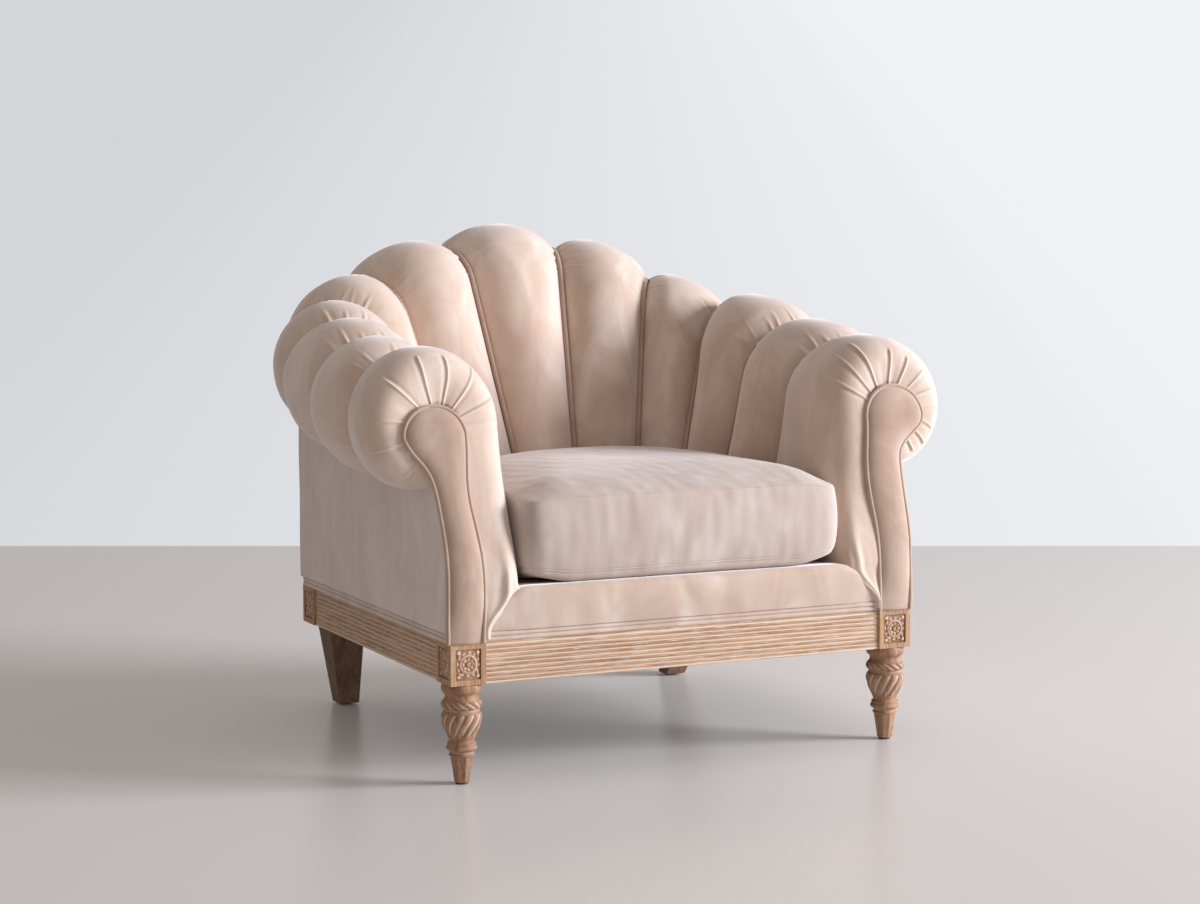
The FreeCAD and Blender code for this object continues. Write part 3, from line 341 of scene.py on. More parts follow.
def channel(name, seam_a, seam_b, seed, columns=64):
    """A channel as rings: s runs across from -1 to 1, and each row is a station up both seams."""
    foot = DECK_TOP + 0.0005
    a, normal_a, turn_a = seam_line(seam_a, foot)
    b, normal_b, turn_b = seam_line(seam_b, foot)
    turn = (turn_a + turn_b) / 2
    lean = (seam_a["lean"] + seam_b["lean"]) / 2
    width, across, lift = between(a, normal_a, b, normal_b)
    even = np.linspace(-1, 1, columns)
    s = 0.85 * np.sin(even * math.pi / 2) + 0.15 * even
    fuller = ease(lean + 0.35, lean + 1.35, turn)[:, None]
    hump = np.power(1 - np.power(np.abs(s), 2.2), 1 / (1.08 + 0.47 * fuller))
    crown = fullness((a + b)[:, 2] / 2, turn, lean)[:, None] * width
    half = width / 2 - GROOVE
    middle = (a + b) / 2
    surface = middle[:, None] + (s[None] * half)[..., None] * across[:, None]
    height = crown * hump
    run = np.repeat((turn * 0.1)[:, None], columns, 1)
    depth = (1 - np.abs(s))[None] * half
    left = np.where(s[None] < 0, 1.0, 0.0)
    on_roll = ease(lean - 0.1, lean + 0.7, turn)[:, None]
    folds = (gathers(run, depth, seed, *GATHERED) * left
             + gathers(run, depth, seed + 50, *GATHERED) * (1 - left))
    rough = surface + height[..., None] * lift[:, None]
    height = height + 0.0013 * soft_waves(rough, 0.11, seed) * hump
    surface = surface + height[..., None] * lift[:, None]
    surface = surface + (folds * on_roll)[..., None] * outward_normals(surface, lift[:, None])
    inner_a = a + across * GROOVE - normal_a * PAD
    inner_b = b - across * GROOVE - normal_b * PAD
    rings = closed_section(surface, a + across * GROOVE, b - across * GROOVE, inner_a, inner_b)
    piece = skin(name, tucked_end(rings, 0.010))
    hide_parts(name)
    return piece


channel("channel_middle", left_seams[0], right_seams[0], 1)
for index in range(len(left_seams) - 1):
    channel("channel_left_%d" % (index + 1), left_seams[index], left_seams[index + 1], 10 + index)
for index in range(len(right_seams) - 1):
    channel("channel_right_%d" % (index + 1), right_seams[index], right_seams[index + 1], 30 + index)
print(len(pieces), "channels,", len(pieces["channel_middle"].data.polygons), "faces in the middle one")

# %% [markdown]
# ## The arms' front channels
#
# The last channel of each arm turns over its front edge and is drawn in round the facing. The cloth
# on the turned edge is far longer than the facing's outline, so it is laid in pleats that point at
# the middle of the facing's head. Below the roll the channel runs down to the wood, beside the facing.

# %% Front channels with pleats
LEFT_PLEATS = np.array([
    (-0.12, .50), (.13, .52), (.42, .62), (.88, .70), (1.32, .60), (1.85, .62), (2.40, .64),
    (3.00, .55), (3.52, .62), (4.12, .45)])
RIGHT_PLEATS = np.array([
    (.50, .70), (.82, .88), (1.18, .80), (1.70, .42), (2.08, .36), (2.45, .40), (2.80, .36),
    (3.15, .42), (3.50, .34), (3.85, .38), (4.20, .30)])


def pleat_folds(angle, share, pleats, seed):
    """Pleats round the facing's head, from rows of angle and reach: each is a ridge 3 mm wide with a
    shallow groove on one side, as far over the turned edge as its reach."""
    rng = np.random.default_rng(seed)
    count = len(pleats)
    heights = rng.uniform(0.7, 1.0, count)
    sways = rng.uniform(-0.16, 0.16, count)
    hands = np.where(rng.uniform(-1, 1, count) > 0, 1.0, -1.0)
    shape = (slice(None), None, None)
    places, reaches = pleats[:, 0][shape], pleats[:, 1][shape]
    from_centre = 0.052 + 0.055 * (1 - share[None])
    offset = (angle[None] - places - sways[shape] * (1 - share[None])) * from_centre
    ridge = np.exp(-(offset / 0.0017) ** 2)
    groove = np.exp(-((offset - 0.0038 * hands[shape]) / 0.0030) ** 2)
    onward = np.clip((share[None] - 1 + reaches) / reaches, 0, 1)
    strength = ease(0, 0.24, onward) * (1 - 0.3 * onward)
    return (heights[shape] * strength * (ridge - 0.55 * groove)).sum(0)


BORDER_EVEN = 0.258         # how far from the middle the front border keeps its full height
SKIRT_INNER, SKIRT_WIDE, SKIRT_POINT, SKIRT_OUTER = 0.263, 0.071, 0.3400, 0.3415


def border_edge(z):
    """Where the front border's rounded end is, from the middle, at height z: a quarter of an oval."""
    return BORDER_EVEN + 0.073 * np.sqrt(1 - np.clip((z - COVERS_FOOT) / 0.0625, 0, 1) ** 2)


def skirt_folds(x, z, seed):
    """Folds that run down to the point at the wood: sines across, strongest about the deck."""
    q = np.clip((x - SKIRT_INNER) / SKIRT_WIDE, 0, 1)
    share = (z - COVERS_FOOT) / (DECK_TOP - COVERS_FOOT)
    strength = ease(0.0, 0.5, share) * (1 - ease(1.0, 1.7, share))
    return 0.0013 * np.sin(q * 24 + 3 * share + seed) * strength * np.sin(math.pi * q)


def skirt(ring, side, seed, rows=26):
    """The channel's lowest part, in front of the seat rail: the ring on the deck, kept forward of
    the rail, narrows downwards beside the border to a point at the wood, with small folds."""
    z = np.linspace(COVERS_FOOT - 0.010, DECK_TOP, rows)[:, None]
    share = np.clip((z - COVERS_FOOT) / (DECK_TOP - COVERS_FOOT), 0, 1)
    edge = border_edge(z) - 0.006 - 0.003 * share
    back = FRONT_PLANE + 0.0072
    x = np.maximum(np.abs(ring[:, 0])[None], SKIRT_INNER + z * 0)
    q = np.clip((x - SKIRT_INNER) / SKIRT_WIDE, 0, 1)
    crease = skirt_folds(x, z, seed)
    narrow = edge + (SKIRT_POINT - edge) * q
    blend = ease(0.0, 1.0, share)
    x = np.clip(narrow * (1 - blend) + x * blend, None, SKIRT_OUTER)
    limit = back + np.maximum(ring[:, 1] - back, 0)[None] * ease(0.97, 1.0, share)
    y = np.minimum(ring[:, 1][None], limit)
    inside = (ring[:, 1] > back)[None]
    full = back - 0.0125 * np.sin(math.pi * np.clip(q * 0.93, 0, 1)) ** 0.7
    y = np.where(inside & (q < 0.02), limit, y * blend + (full + crease) * (1 - blend))
    return np.stack([side * x, y, z + x * 0], -1)


def front_channel(name, side, seam, pleats, seed, columns=100):
    """The last channel: from its seam it swells to a crest at share 0.48 of the chord. Then it turns
    over in a quarter of an oval, squarer near the deck, down to the facing's edge."""
    foot = DECK_TOP + 0.0005
    front = front_seam(side)
    a, normal_a, turn_a = seam_line(seam, foot, roll_rows=380)
    f, normal_f, turn_f = seam_line(front, foot, roll_rows=380)
    reach_back = (seam["corner"] + seam["outward"] * seam["reach"] - f[0])[1]
    f[:, 1] += lean_back(f[:, 2] - normal_f[:, 2] * PAD)
    turn = (turn_a + turn_f) / 2
    lean = (seam["lean"] + front["lean"]) / 2
    width, across, lift = between(a, normal_a, f, normal_f)
    crown = fullness((a + f)[:, 2] / 2, turn, lean)[:, None] * 0.72 * reach_back
    crest = 0.48
    rise_columns = 40
    c = crest * (1 - np.cos(np.linspace(0, math.pi / 2, rise_columns, endpoint=False))) ** 0.8
    h = np.power(1 - np.power(1 - c / crest, 2.2), 1 / 1.7)
    phi = np.linspace(0, math.pi / 2, columns - rise_columns)
    squarer = (1 - ease(DECK_TOP + 0.02, DECK_TOP + 0.18, (a + f)[:, 2] / 2))[:, None]
    turned = crest + (1 - crest) * np.sin(phi)[None] ** (0.80 - 0.22 * squarer)
    fall = np.cos(phi)[None] ** (0.68 - 0.18 * squarer)
    under = (0.018 if side < 0 else 0.012) * ease(0.90, 1.0, phi / (math.pi / 2))
    gap = GROOVE / width
    along = np.concatenate([np.repeat(c[None], len(turn), 0), turned], axis=1) * (1 - gap) + gap
    height = np.concatenate([np.repeat(h[None], len(turn), 0) * crown,
                             (crown + PAD) * fall - PAD - under[None]], axis=1)
    surface = a[:, None] + (along * width)[..., None] * across[:, None]
    share = np.concatenate([np.zeros(rise_columns), phi / (math.pi / 2)])[None].repeat(len(turn), 0)
    below = RISE_ROWS + BEND_ROWS + LEAN_ROWS
    onward = turn.copy()
    onward[:below] = lean - (f[below, 2] - f[:below, 2]) / 0.09
    angle = np.repeat(onward[:, None], columns, 1)
    direction = unit(lift[:, None] * (1 - share[..., None]) + across[:, None] * share[..., None])
    folds = 0.0027 * pleat_folds(angle, share, pleats, seed)
    uneven = 0.6 + 0.4 * soft_waves(surface, 0.03, seed + 9)
    folds = folds - 0.0020 * ease(0.72, 1.0, share) * ease(0.3, 1.2, angle) * uneven
    run = np.repeat((turn * 0.1)[:, None], columns, 1)
    on_roll = ease(lean - 0.1, lean + 0.7, turn)[:, None]
    near = gathers(run, along * width, seed + 50, *GATHERED) * on_roll
    rough = surface + height[..., None] * lift[:, None]
    soft = 0.0012 * soft_waves(rough, 0.12, seed) * np.sin(math.pi * np.clip(along, 0, 1))
    surface = surface + (height + soft)[..., None] * lift[:, None]
    normals = outward_normals(surface, direction)
    surface = surface + (near + folds)[..., None] * normals
    near_deck = 1 - ease(DECK_TOP, DECK_TOP + 0.12, surface[..., 2])
    forward = 0.0145 * near_deck * ease(0.2, 0.6, along) * (1 - 0.66 * ease(0.78, 1.0, share))
    surface[..., 1] += skirt_folds(side * surface[..., 0], surface[..., 2], seed) - forward
    inner_a = a + across * gap * width - normal_a * PAD
    inner_f = f - normal_f * (PAD + under[-1] + 0.002) - across * 0.012
    rings = closed_section(surface, a + across * gap * width, surface[:, -1], inner_a, inner_f)
    rings = np.concatenate([skirt(rings[0], side, seed), rings])
    piece = skin(name, tucked_end(rings, 0.010))
    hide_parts(name)
    return piece


front_channel("channel_left_6", -1, left_seams[-1], LEFT_PLEATS, 71)
front_channel("channel_right_5", 1, right_seams[-1], RIGHT_PLEATS, 83)
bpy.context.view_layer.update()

# %% [markdown]
# ## Piping in the seams
#
# A strip of the same velvet is folded round a cord of 8 mm and sewn into each seam. It is a tube
# along the seam's line, a little proud of it, and it follows the same stations as the channels.

# %% Seam piping
def seam_cord(seam, lift=0.0034):
    """A cord on a seam's line, lifted out of it, from behind the cushion over the roll."""
    points, normals, _ = seam_line(seam, DECK_TOP + 0.05, END_TURN - 0.06)
    line = even_line(points + normals * lift, 200)
    return cord_rings(line, PIPING * 0.98, np.cross(seam["outward"], UP))


for label, seams in (("left", left_seams), ("right", right_seams)):
    piece = skins("seam_piping_" + label, [seam_cord(seam) for seam in seams])
    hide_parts("seam_piping_" + label)

# %% [markdown]
# ## Arm facings
#
# Each arm front is closed by a facing: a board padded with a thin layer of wadding and covered in
# velvet, shaped like a slender vase under a round head. Its outline is drawn as a line of points with
# an oval at the head. Within 30 mm of the outline the surface rises by a quarter circle, which gives
# the flat front and the soft edge of a thin pad. Piping runs all round it.

# %% Facing outline and pad
FACING_FOOT = 0.2113
SWELL_WIDE, SWELL_HIGH = 0.030, 0.0125
LEFT_INNER = [
    (.3394, .2113), (.3390, .2257), (.3345, .262), (.3318, .300), (.3325, .336), (.3392, .377),
    (.3455, .410), (.3478, .440), (.3462, .466), (.3446, .488)]
LEFT_OUTER = [
    (.4371, .4990), (.4280, .4845), (.4159, .4715), (.4065, .4575), (.3999, .4413), (.3955, .418),
    (.3925, .393), (.3880, .352), (.3878, .310), (.3905, .275), (.3940, .240), (.3948, .2257),
    (.3948, .2113)]
LEFT_HEAD = (.3929, .5070, .0485, .0464)
RIGHT_INNER = [
    (.3345, .2113), (.3348, .2257), (.3385, .269), (.3408, .310), (.3392, .345), (.3350, .372),
    (.3312, .405), (.3310, .440), (.3335, .463), (.3370, .490)]
RIGHT_OUTER = [
    (.4380, .5000), (.4241, .4880), (.4090, .4760), (.3975, .4640), (.3930, .450), (.3928, .430),
    (.3942, .400), (.3959, .3768), (.3982, .345), (.3985, .320), (.3960, .285), (.3938, .2600),
    (.3908, .2257), (.3900, .2113)]
RIGHT_HEAD = (.3897, .5105, .0517, .0494)


def rounded(points, passes=3):
    """Corner cutting: each pass keeps the ends and replaces a corner by two points a quarter in."""
    for _ in range(passes):
        early = points[:-1] * 0.75 + points[1:] * 0.25
        late = points[:-1] * 0.25 + points[1:] * 0.75
        middle = np.stack([early, late], 1).reshape(-1, points.shape[1])
        points = np.concatenate([points[:1], middle, points[-1:]])
    return points


def facing_outline(side):
    """Up the inner edge, round the head, through the hollow of the neck and down the outer edge.
    The two sides differ by a few millimetres, as hand work does."""
    left = (LEFT_INNER, LEFT_OUTER, LEFT_HEAD)
    inner, outer, (x, z, wide, high) = left if side < 0 else (RIGHT_INNER, RIGHT_OUTER, RIGHT_HEAD)
    turn = np.radians(np.linspace(178, 2, 50))
    over = np.stack([x + wide * np.cos(turn), z + high * np.sin(turn)], -1)
    return even_line(rounded(np.concatenate([inner, over, outer]), 3), 220)


def facing_rings(side, rows=210, columns=64):
    """The pad: rows of points between the two edges, raised by a quarter circle of the distance to
    the nearest point of the outline, so that it swells like a stuffed pad; the back is flat."""
    outline = facing_outline(side)
    top = int(np.argmax(outline[:, 1]))
    inner, outer = outline[:top + 1], outline[top:][::-1]
    z = FACING_FOOT + (outline[top, 1] - FACING_FOOT) * np.sin(np.linspace(0, math.pi / 2, rows)) ** 0.9
    z = np.minimum(z, outline[top, 1] - 0.00005)
    left = np.interp(z, inner[:, 1], inner[:, 0])
    right = np.interp(z, np.maximum.accumulate(outer[:, 1]), outer[:, 0])
    s = np.sin(np.linspace(-math.pi / 2, math.pi / 2, columns))
    x = (left + right)[:, None] / 2 + (right - left)[:, None] / 2 * s[None]
    flat = np.stack([x, np.repeat(z[:, None], columns, 1)], -1)
    open_edge = outline[(outline[:, 1] > FACING_FOOT + 0.001)]
    near = np.linalg.norm(flat.reshape(-1, 1, 2) - open_edge[None], axis=-1).min(1).reshape(x.shape)
    swell = np.sqrt(1 - (1 - np.clip(near / SWELL_WIDE, 0, 1)) ** 2)
    waves = soft_waves(np.stack([x, x * 0, flat[..., 1] * 0.5], -1), 0.05, 5)
    swell = swell * (0.45 + 0.55 * ease(FACING_FOOT, FACING_FOOT + 0.07, flat[..., 1]))
    leaning = np.maximum(lean_back(flat[..., 1]), 0)
    y = FRONT_PLANE + 0.0002 - SWELL_HIGH * swell - 0.0006 * waves * swell + leaning
    face = np.stack([side * x, y, flat[..., 1]], -1)
    behind = np.where(face[:, ::-1, 2] < COVERS_FOOT, 0.0007, 0.008)
    back = face[:, ::-1] * [1, 0, 1]
    back[..., 1] = FRONT_PLANE + behind + leaning[:, ::-1]
    return np.concatenate([face, back], 1)


def facing_cord(side):
    """The facing's outline as a cord that stands forward of the pad's edge."""
    outline = facing_outline(side)
    y = FRONT_PLANE - PIPING * 0.6 + np.maximum(lean_back(outline[:, 1]), 0)
    line = np.stack([side * outline[:, 0], y, outline[:, 1]], -1)
    return cord_rings(even_line(line, 420), PIPING * 0.82, unit(np.array([0.0, 1.0, -FRONT_LEAN])))


for label, side in SIDES:
    piece = skin("arm_facing_" + label, facing_rings(side))
    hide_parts("arm_facing_" + label)
    piece = skin("facing_piping_" + label, facing_cord(side))
    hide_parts("facing_piping_" + label)

# %% [markdown]
# ## Outside covers
#
# The outside of the arms and of the back is velvet pulled flat over webbing and tacked under the
# channels. It isn't quite flat: it shows slack, upright ripples. Each panel is a grid between a foot
# line on the wood and a top line under the roll, given a thickness.

# %% Outside panels
PANEL = 0.0075
BELOW_ROLL = 0.062          # how far under the roll's middle a panel ends


def slab(outer, inward):
    """Rings for a panel: rows run up, and each ring goes along the outside and back inside."""
    inner = outer + inward * PANEL
    return np.concatenate([outer, inner[:, ::-1]], axis=1)


def ripples(run, height, seed):
    """Slack in an upright panel: soft folds that run mostly up, stronger near the top."""
    points = np.stack([run, run * 0, height * 0.28], -1)
    return 0.0011 * soft_waves(points, 0.075, seed) + 0.0005 * soft_waves(points, 0.028, seed + 1)


def outside_arm(label, side, seams):
    """The arm's outside: upright, from the facing to the rear corner, and up behind the channels."""
    beside = [seam for seam in seams[::-1] if seam["outward"][0] * side > 0.5]
    spots = [seam["corner"][1] + seam["outward"][1] * seam["reach"] + BACKWARD for seam in beside]
    tops = [ARM_CREST - ROLL_RADIUS] + [seam["roll_height"] for seam in beside]
    spots = [0.0] + spots + [0.657]
    tops.append(tops[-1])
    y = np.linspace(0.0095, 0.6568, 140)
    top = np.interp(y, spots, tops) - BELOW_ROLL
    share = np.linspace(0, 1, 90)[:, None]
    z = COVERS_FOOT + (top[None] - COVERS_FOOT) * share
    z = np.where(share > 0, z, COVERS_FOOT)
    pulls = [0, -0.002, -0.0062, -0.0060, -0.0015, 0] if side < 0 else [-0.0035, -0.001, 0, 0, 0, 0]
    waist = np.interp(z, [.2257, .262, .31, .352, .393, .44], pulls)
    pull = np.exp(-(y[None] / 0.055) ** 2) * waist
    slack = ripples(np.repeat(y[None], len(z), 0), z, 40 + side)
    x = PANEL_X + pull + slack * np.sin(math.pi * np.clip(share, 0.02, 0.98))
    leaned_y = y[None] + lean_back(z) * (1 - y[None] / y[-1])
    outer = np.stack([side * x, leaned_y - BACKWARD, z], -1)
    piece = skin("outside_arm_" + label, slab(outer, np.array([-side, 0.0, 0.0])))
    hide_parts("outside_arm_" + label)
    return piece


def outside_back():
    """The outside back: upright at the rear corners, leaning back under the roll at the middle."""
    seams = left_seams[2::-1] + right_seams[:3]
    low_x, top_x, top_y, top_z = [], [], [], []
    for seam in seams[1:-1]:
        low = seam["corner"] + seam["outward"] * ((PANEL_REAR - seam["corner"][1]) / seam["outward"][1])
        high = seam["corner"] + seam["outward"] * (seam["reach"] + 0.009)
        low_x.append(low[0]), top_x.append(high[0]), top_y.append(high[1])
        top_z.append(seam["roll_height"] - BELOW_ROLL)
    end_x = PANEL_X - 0.0012
    low_x = [-end_x] + low_x + [end_x]
    top_x = [-end_x] + top_x + [end_x]
    top_y = [PANEL_REAR] + top_y + [PANEL_REAR]
    top_z = [seams[0]["roll_height"] - 0.03] + top_z + [seams[-1]["roll_height"] - 0.03]
    low = np.stack([low_x, np.full(6, PANEL_REAR), np.full(6, COVERS_FOOT)], -1)
    high = np.stack([top_x, top_y, top_z], -1)
    low, high = even_line(rounded(low), 160), even_line(rounded(high), 160)
    share = np.linspace(0, 1, 80)[:, None, None]
    outer = low[None] + (high - low)[None] * share
    slack = ripples(outer[..., 0], outer[..., 2], 47)
    outer[..., 1] += slack * np.sin(math.pi * np.clip(share[..., 0], 0.02, 0.98))
    piece = skin("outside_back", slab(outer, np.array([0.0, -1.0, 0.0])))
    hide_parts("outside_back")
    return piece


for label, side, seams in (("left", -1, left_seams), ("right", 1, right_seams)):
    outside_arm(label, side, seams)
outside_back()

# %% [markdown]
# ## Front border and base welt
#
# A padded band covers the front seat rail between the two front channels, and a double row of piping
# finishes the covers above the show wood all round the chair.

# %% Front border
def front_border():
    """The band's section is an upright face, a quarter round and a lip over the rail. It is carried
    across the chair, and its ends round down to the wood beside the front channels."""
    half = 0.3308
    turn = np.linspace(0, math.pi / 2, 16)
    face_y = FRONT_PLANE - 0.0005
    top_z = DECK_TOP - 0.011
    face = np.stack([np.full(30, face_y), np.linspace(COVERS_FOOT, top_z, 30)], -1)
    top = np.stack([face_y + 0.012 * (1 - np.cos(turn)), top_z + 0.011 * np.sin(turn)], -1)
    rail_front, rail_rear = 0.0097 - BACKWARD, 0.0358 - BACKWARD
    back = np.array([[rail_rear, DECK_TOP], [rail_rear, DECK_TOP - 0.0025],
                     [rail_front, DECK_TOP - 0.0026], [rail_front, COVERS_FOOT]])
    section = np.concatenate([face, top[1:], back])
    x = half * np.sin(np.linspace(-1, 1, 300) * 1.45) / math.sin(1.45)
    low = np.sqrt(1 - np.clip((np.abs(x) - BORDER_EVEN) / 0.0731, 0, 0.998) ** 2)[:, None]
    z = COVERS_FOOT + (section[None, :, 1] - COVERS_FOOT) * low
    rings = np.stack([x[:, None] + z * 0, section[None, :, 0] + z * 0, z], -1)
    front = rings[..., 1] < face_y + 0.012
    bulge = np.sin(math.pi * np.clip((section[None, :, 1] - COVERS_FOOT) / 0.064, 0, 1)) * front
    ends = 0.004 * ease(0.262, 0.331, np.abs(x))[:, None] * front
    rings[..., 1] += ends - bulge * (0.0030 + 0.0008 * soft_waves(rings * [1, 1, 0.3], 0.05, 61))
    return rings


piece = skin("front_border", front_border())
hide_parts("front_border")


# %% Base welt
def welt_line(z, radius):
    """A rounded rectangle round the covers' foot, at height z, just outside the covers."""
    x, front, rear = 0.3865 + radius, 0.010 - radius - BACKWARD, 0.6495 + radius - BACKWARD
    corner = 0.009
    turns = np.radians(np.linspace(0, 90, 12))
    parts = []
    for cx, cy, start in ((x - corner, front + corner, -90), (x - corner, rear - corner, 0),
                          (corner - x, rear - corner, 90), (corner - x, front + corner, 180)):
        turn = turns + math.radians(start)
        parts.append(np.stack([cx + corner * np.cos(turn), cy + corner * np.sin(turn)], -1))
    loop = np.concatenate([[[-0.0006, rear]]] + parts[2:] + parts[:2] + [[[0.0, rear]]])
    return even_line(np.concatenate([loop, np.full((len(loop), 1), z)], 1), 900)


WELT, WELT_FOOT = 0.0036, 0.211
heights = [WELT_FOOT + WELT, WELT_FOOT + 3 * WELT]
piece = skins("base_welt", [cord_rings(welt_line(z, WELT), WELT * 0.99, UP, 12) for z in heights])
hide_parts("base_welt")

# %% [markdown]
# ## The seat cushion
#
# The loose cushion is a boxed one: a top and a bottom panel and a border between them, joined by
# plain seams. Filled with foam and fibre it crowns in the middle, its sides pull in between the
# corners, and its seams pucker a little. The plan is a loop of points whose corners are cut three
# times; every ring is that loop drawn towards the middle, with its height from the crown's formula.

# %% Cushion plan and rings
CUSHION_LOW = DECK_TOP + 0.0003
SEAM_LOW, SEAM_HIGH = CUSHION_LOW + 0.016, CUSHION_LOW + 0.129
CUSHION_MIDDLE, CUSHION_MIDDLE_Z = np.array([0.0, 0.255 - BACKWARD]), 0.36
HALF_PLAN = np.array([
    (0.0, .0036), (.070, .0036), (.150, .0037), (.222, .0046), (.252, .0075), (.2635, .022),
    (.2645, .052), (.2600, .120), (.2560, .196), (.2500, .262), (.2360, .335), (.2100, .400),
    (.1680, .452), (.1150, .484), (.0550, .489), (0.0, .490)])


def cushion_plan(count=280):
    """The cushion seen from above: right half, and its mirror image, as one smooth loop."""
    left = HALF_PLAN[::-1][1:] * [-1, 1]
    loop = np.concatenate([HALF_PLAN, left])
    return even_line(rounded(loop, 3), count + 1)[:-1] - [0, BACKWARD]


UNDER_R = np.array([0.02, 0.2, 0.5, 0.75, 0.87, 0.92, 0.945, 0.965, 0.98, 0.99])
BORDER_ROWS = 26
TOP_R = np.concatenate([1 - 0.009 * np.arange(1, 7), np.cos(np.linspace(0.38, math.pi / 2 - 0.02, 38))])
LOW_ROW, HIGH_ROW = len(UNDER_R), len(UNDER_R) + BORDER_ROWS - 1


def cushion_rings():
    """Rings from the middle of the underside to the middle of the top. r is a ring's share of the
    plan; the top's height is the seam's height plus the crown times (1 - r to the 3.1) to the 0.8."""
    plan = cushion_plan()
    under_z = CUSHION_LOW + 0.016 * (1 - np.sqrt(1 - (np.clip(UNDER_R - 0.92, 0, 1) / 0.08) ** 2))
    border = np.linspace(0, 1, BORDER_ROWS)
    border_r = 1 + 0.0155 * np.sin(math.pi * border) ** 0.75
    border_z = SEAM_LOW + (SEAM_HIGH - SEAM_LOW) * border
    top_z = SEAM_HIGH + 0.036 * np.power(1 - TOP_R ** 3.1, 0.8)
    r = np.concatenate([UNDER_R, border_r, TOP_R])
    z = np.concatenate([under_z, border_z, top_z])
    flat = CUSHION_MIDDLE + (plan - CUSHION_MIDDLE)[None] * r[:, None, None]
    rings = np.concatenate([flat, np.repeat(z[:, None, None], len(plan), 1)], -1)
    in_front = 1 - ease(0.02, 0.10, rings[..., 1] + BACKWARD)
    corner = ease(0.185, 0.262, np.abs(rings[..., 0])) * in_front
    height = np.clip((rings[..., 2] - CUSHION_LOW) / 0.12, 0, 1)
    rings[..., 2] += 0.010 * corner * (1 - height) - 0.007 * corner * height
    return rings


# %% [markdown]
# ### Blowing up the cushion
#
# The cloth simulation treats the cushion's skin as a bag under pressure: its seams are pinned, and
# the cloth between them is cut slightly too large, so it swells and crinkles a little along
# the seams as real covers do. The moves are capped, so that the cushion keeps clear of the arms.

# %% Cloth under pressure
def blown_up(rings, pinned, pressure=4.0, growth=0.006, last_frame=20):
    """The rings after a cloth simulation: points (rows, columns, 3), with the pinned rows held."""
    rows, columns = rings.shape[:2]
    mesh = put_mesh("bag", ring_points(rings), ring_faces(rows, columns))
    bag = bpy.data.objects.new("bag", mesh)
    bpy.context.scene.collection.objects.link(bag)
    group = bag.vertex_groups.new(name="seams")
    held = (np.array(pinned)[:, None] * columns + np.arange(columns)[None]).ravel()
    group.add(held.tolist(), 1.0, "REPLACE")
    cloth = bag.modifiers.new("cloth", "CLOTH")
    cloth.settings.quality = 5
    cloth.settings.mass = 0.4
    cloth.settings.tension_stiffness = 25
    cloth.settings.compression_stiffness = 25
    cloth.settings.shear_stiffness = 10
    cloth.settings.bending_stiffness = 4.0
    cloth.settings.use_pressure = True
    cloth.settings.uniform_pressure_force = pressure
    cloth.settings.shrink_min = -growth
    cloth.settings.vertex_group_mass = "seams"
    cloth.settings.effector_weights.gravity = 0
    cloth.collision_settings.use_collision = False
    cloth.point_cache.frame_start = 1
    cloth.point_cache.frame_end = last_frame
    scene = bpy.context.scene
    for step in range(1, last_frame + 1):
        scene.frame_set(step)
    result = bag.evaluated_get(bpy.context.evaluated_depsgraph_get()).data
    moved = np.empty(len(result.vertices) * 3, np.float32)
    result.vertices.foreach_get("co", moved)
    scene.frame_set(1)
    bpy.data.objects.remove(bag)
    bpy.data.meshes.remove(mesh)
    return moved.reshape(-1, 3)[:rows * columns].reshape(rows, columns, 3).astype(float)


def capped(start, moved):
    """Moves smoothed five times round and up, faded to a tenth away from the upper seam, and limited
    to 3 mm outwards and 8 mm inwards in plan and to 9 mm up. So the crinkles stay near the seams."""
    shift = moved - start
    for _ in range(5):
        shift = (np.roll(shift, 1, 1) + 2 * shift + np.roll(shift, -1, 1)) / 4
        shift[1:-1] = (shift[:-2] + 2 * shift[1:-1] + shift[2:]) / 4
    near_seam = np.exp(-np.clip(np.arange(len(start)) - HIGH_ROW, 0, None) / 7.0)[:, None, None]
    shift = shift * (0.10 + 0.75 * near_seam)
    outward = unit(start[..., :2] - CUSHION_MIDDLE + 1e-9)
    out = np.sum(shift[..., :2] * outward, -1, keepdims=True)
    sideways = shift[..., :2] - out * outward
    out = np.clip(out, -0.008, 0.003)
    rise = np.clip(shift[..., 2:], -0.004, 0.009)
    rise = rise * ease(CUSHION_LOW, CUSHION_LOW + 0.03, start[..., 2:])
    return start + np.concatenate([outward * out + np.clip(sideways, -0.004, 0.004), rise], -1)


def refined(grid):
    """Twice as many rows and columns: each new point is (9 (p1 + p2) - p0 - p3) / 16 of its four
    neighbours, round the loop for columns and with the ends repeated for rows."""
    late = (9 * (grid + np.roll(grid, -1, 1)) - np.roll(grid, 1, 1) - np.roll(grid, -2, 1)) / 16
    wide = np.stack([grid, late], 2).reshape(len(grid), -1, 3)
    ends = np.concatenate([wide[:1], wide, wide[-1:]])
    late = (9 * (ends[1:-2] + ends[2:-1]) - ends[:-3] - ends[3:]) / 16
    tall = np.stack([wide[:-1], late], 1).reshape(-1, wide.shape[1], 3)
    return np.concatenate([tall, wide[-1:]])


start = cushion_rings()
cushion_skin = refined(capped(start, blown_up(start, (LOW_ROW, HIGH_ROW))))
moved = 1000 * float(np.abs(cushion_skin - refined(start)).max())
print("cloth moved the cushion by up to", round(moved, 1), "mm")


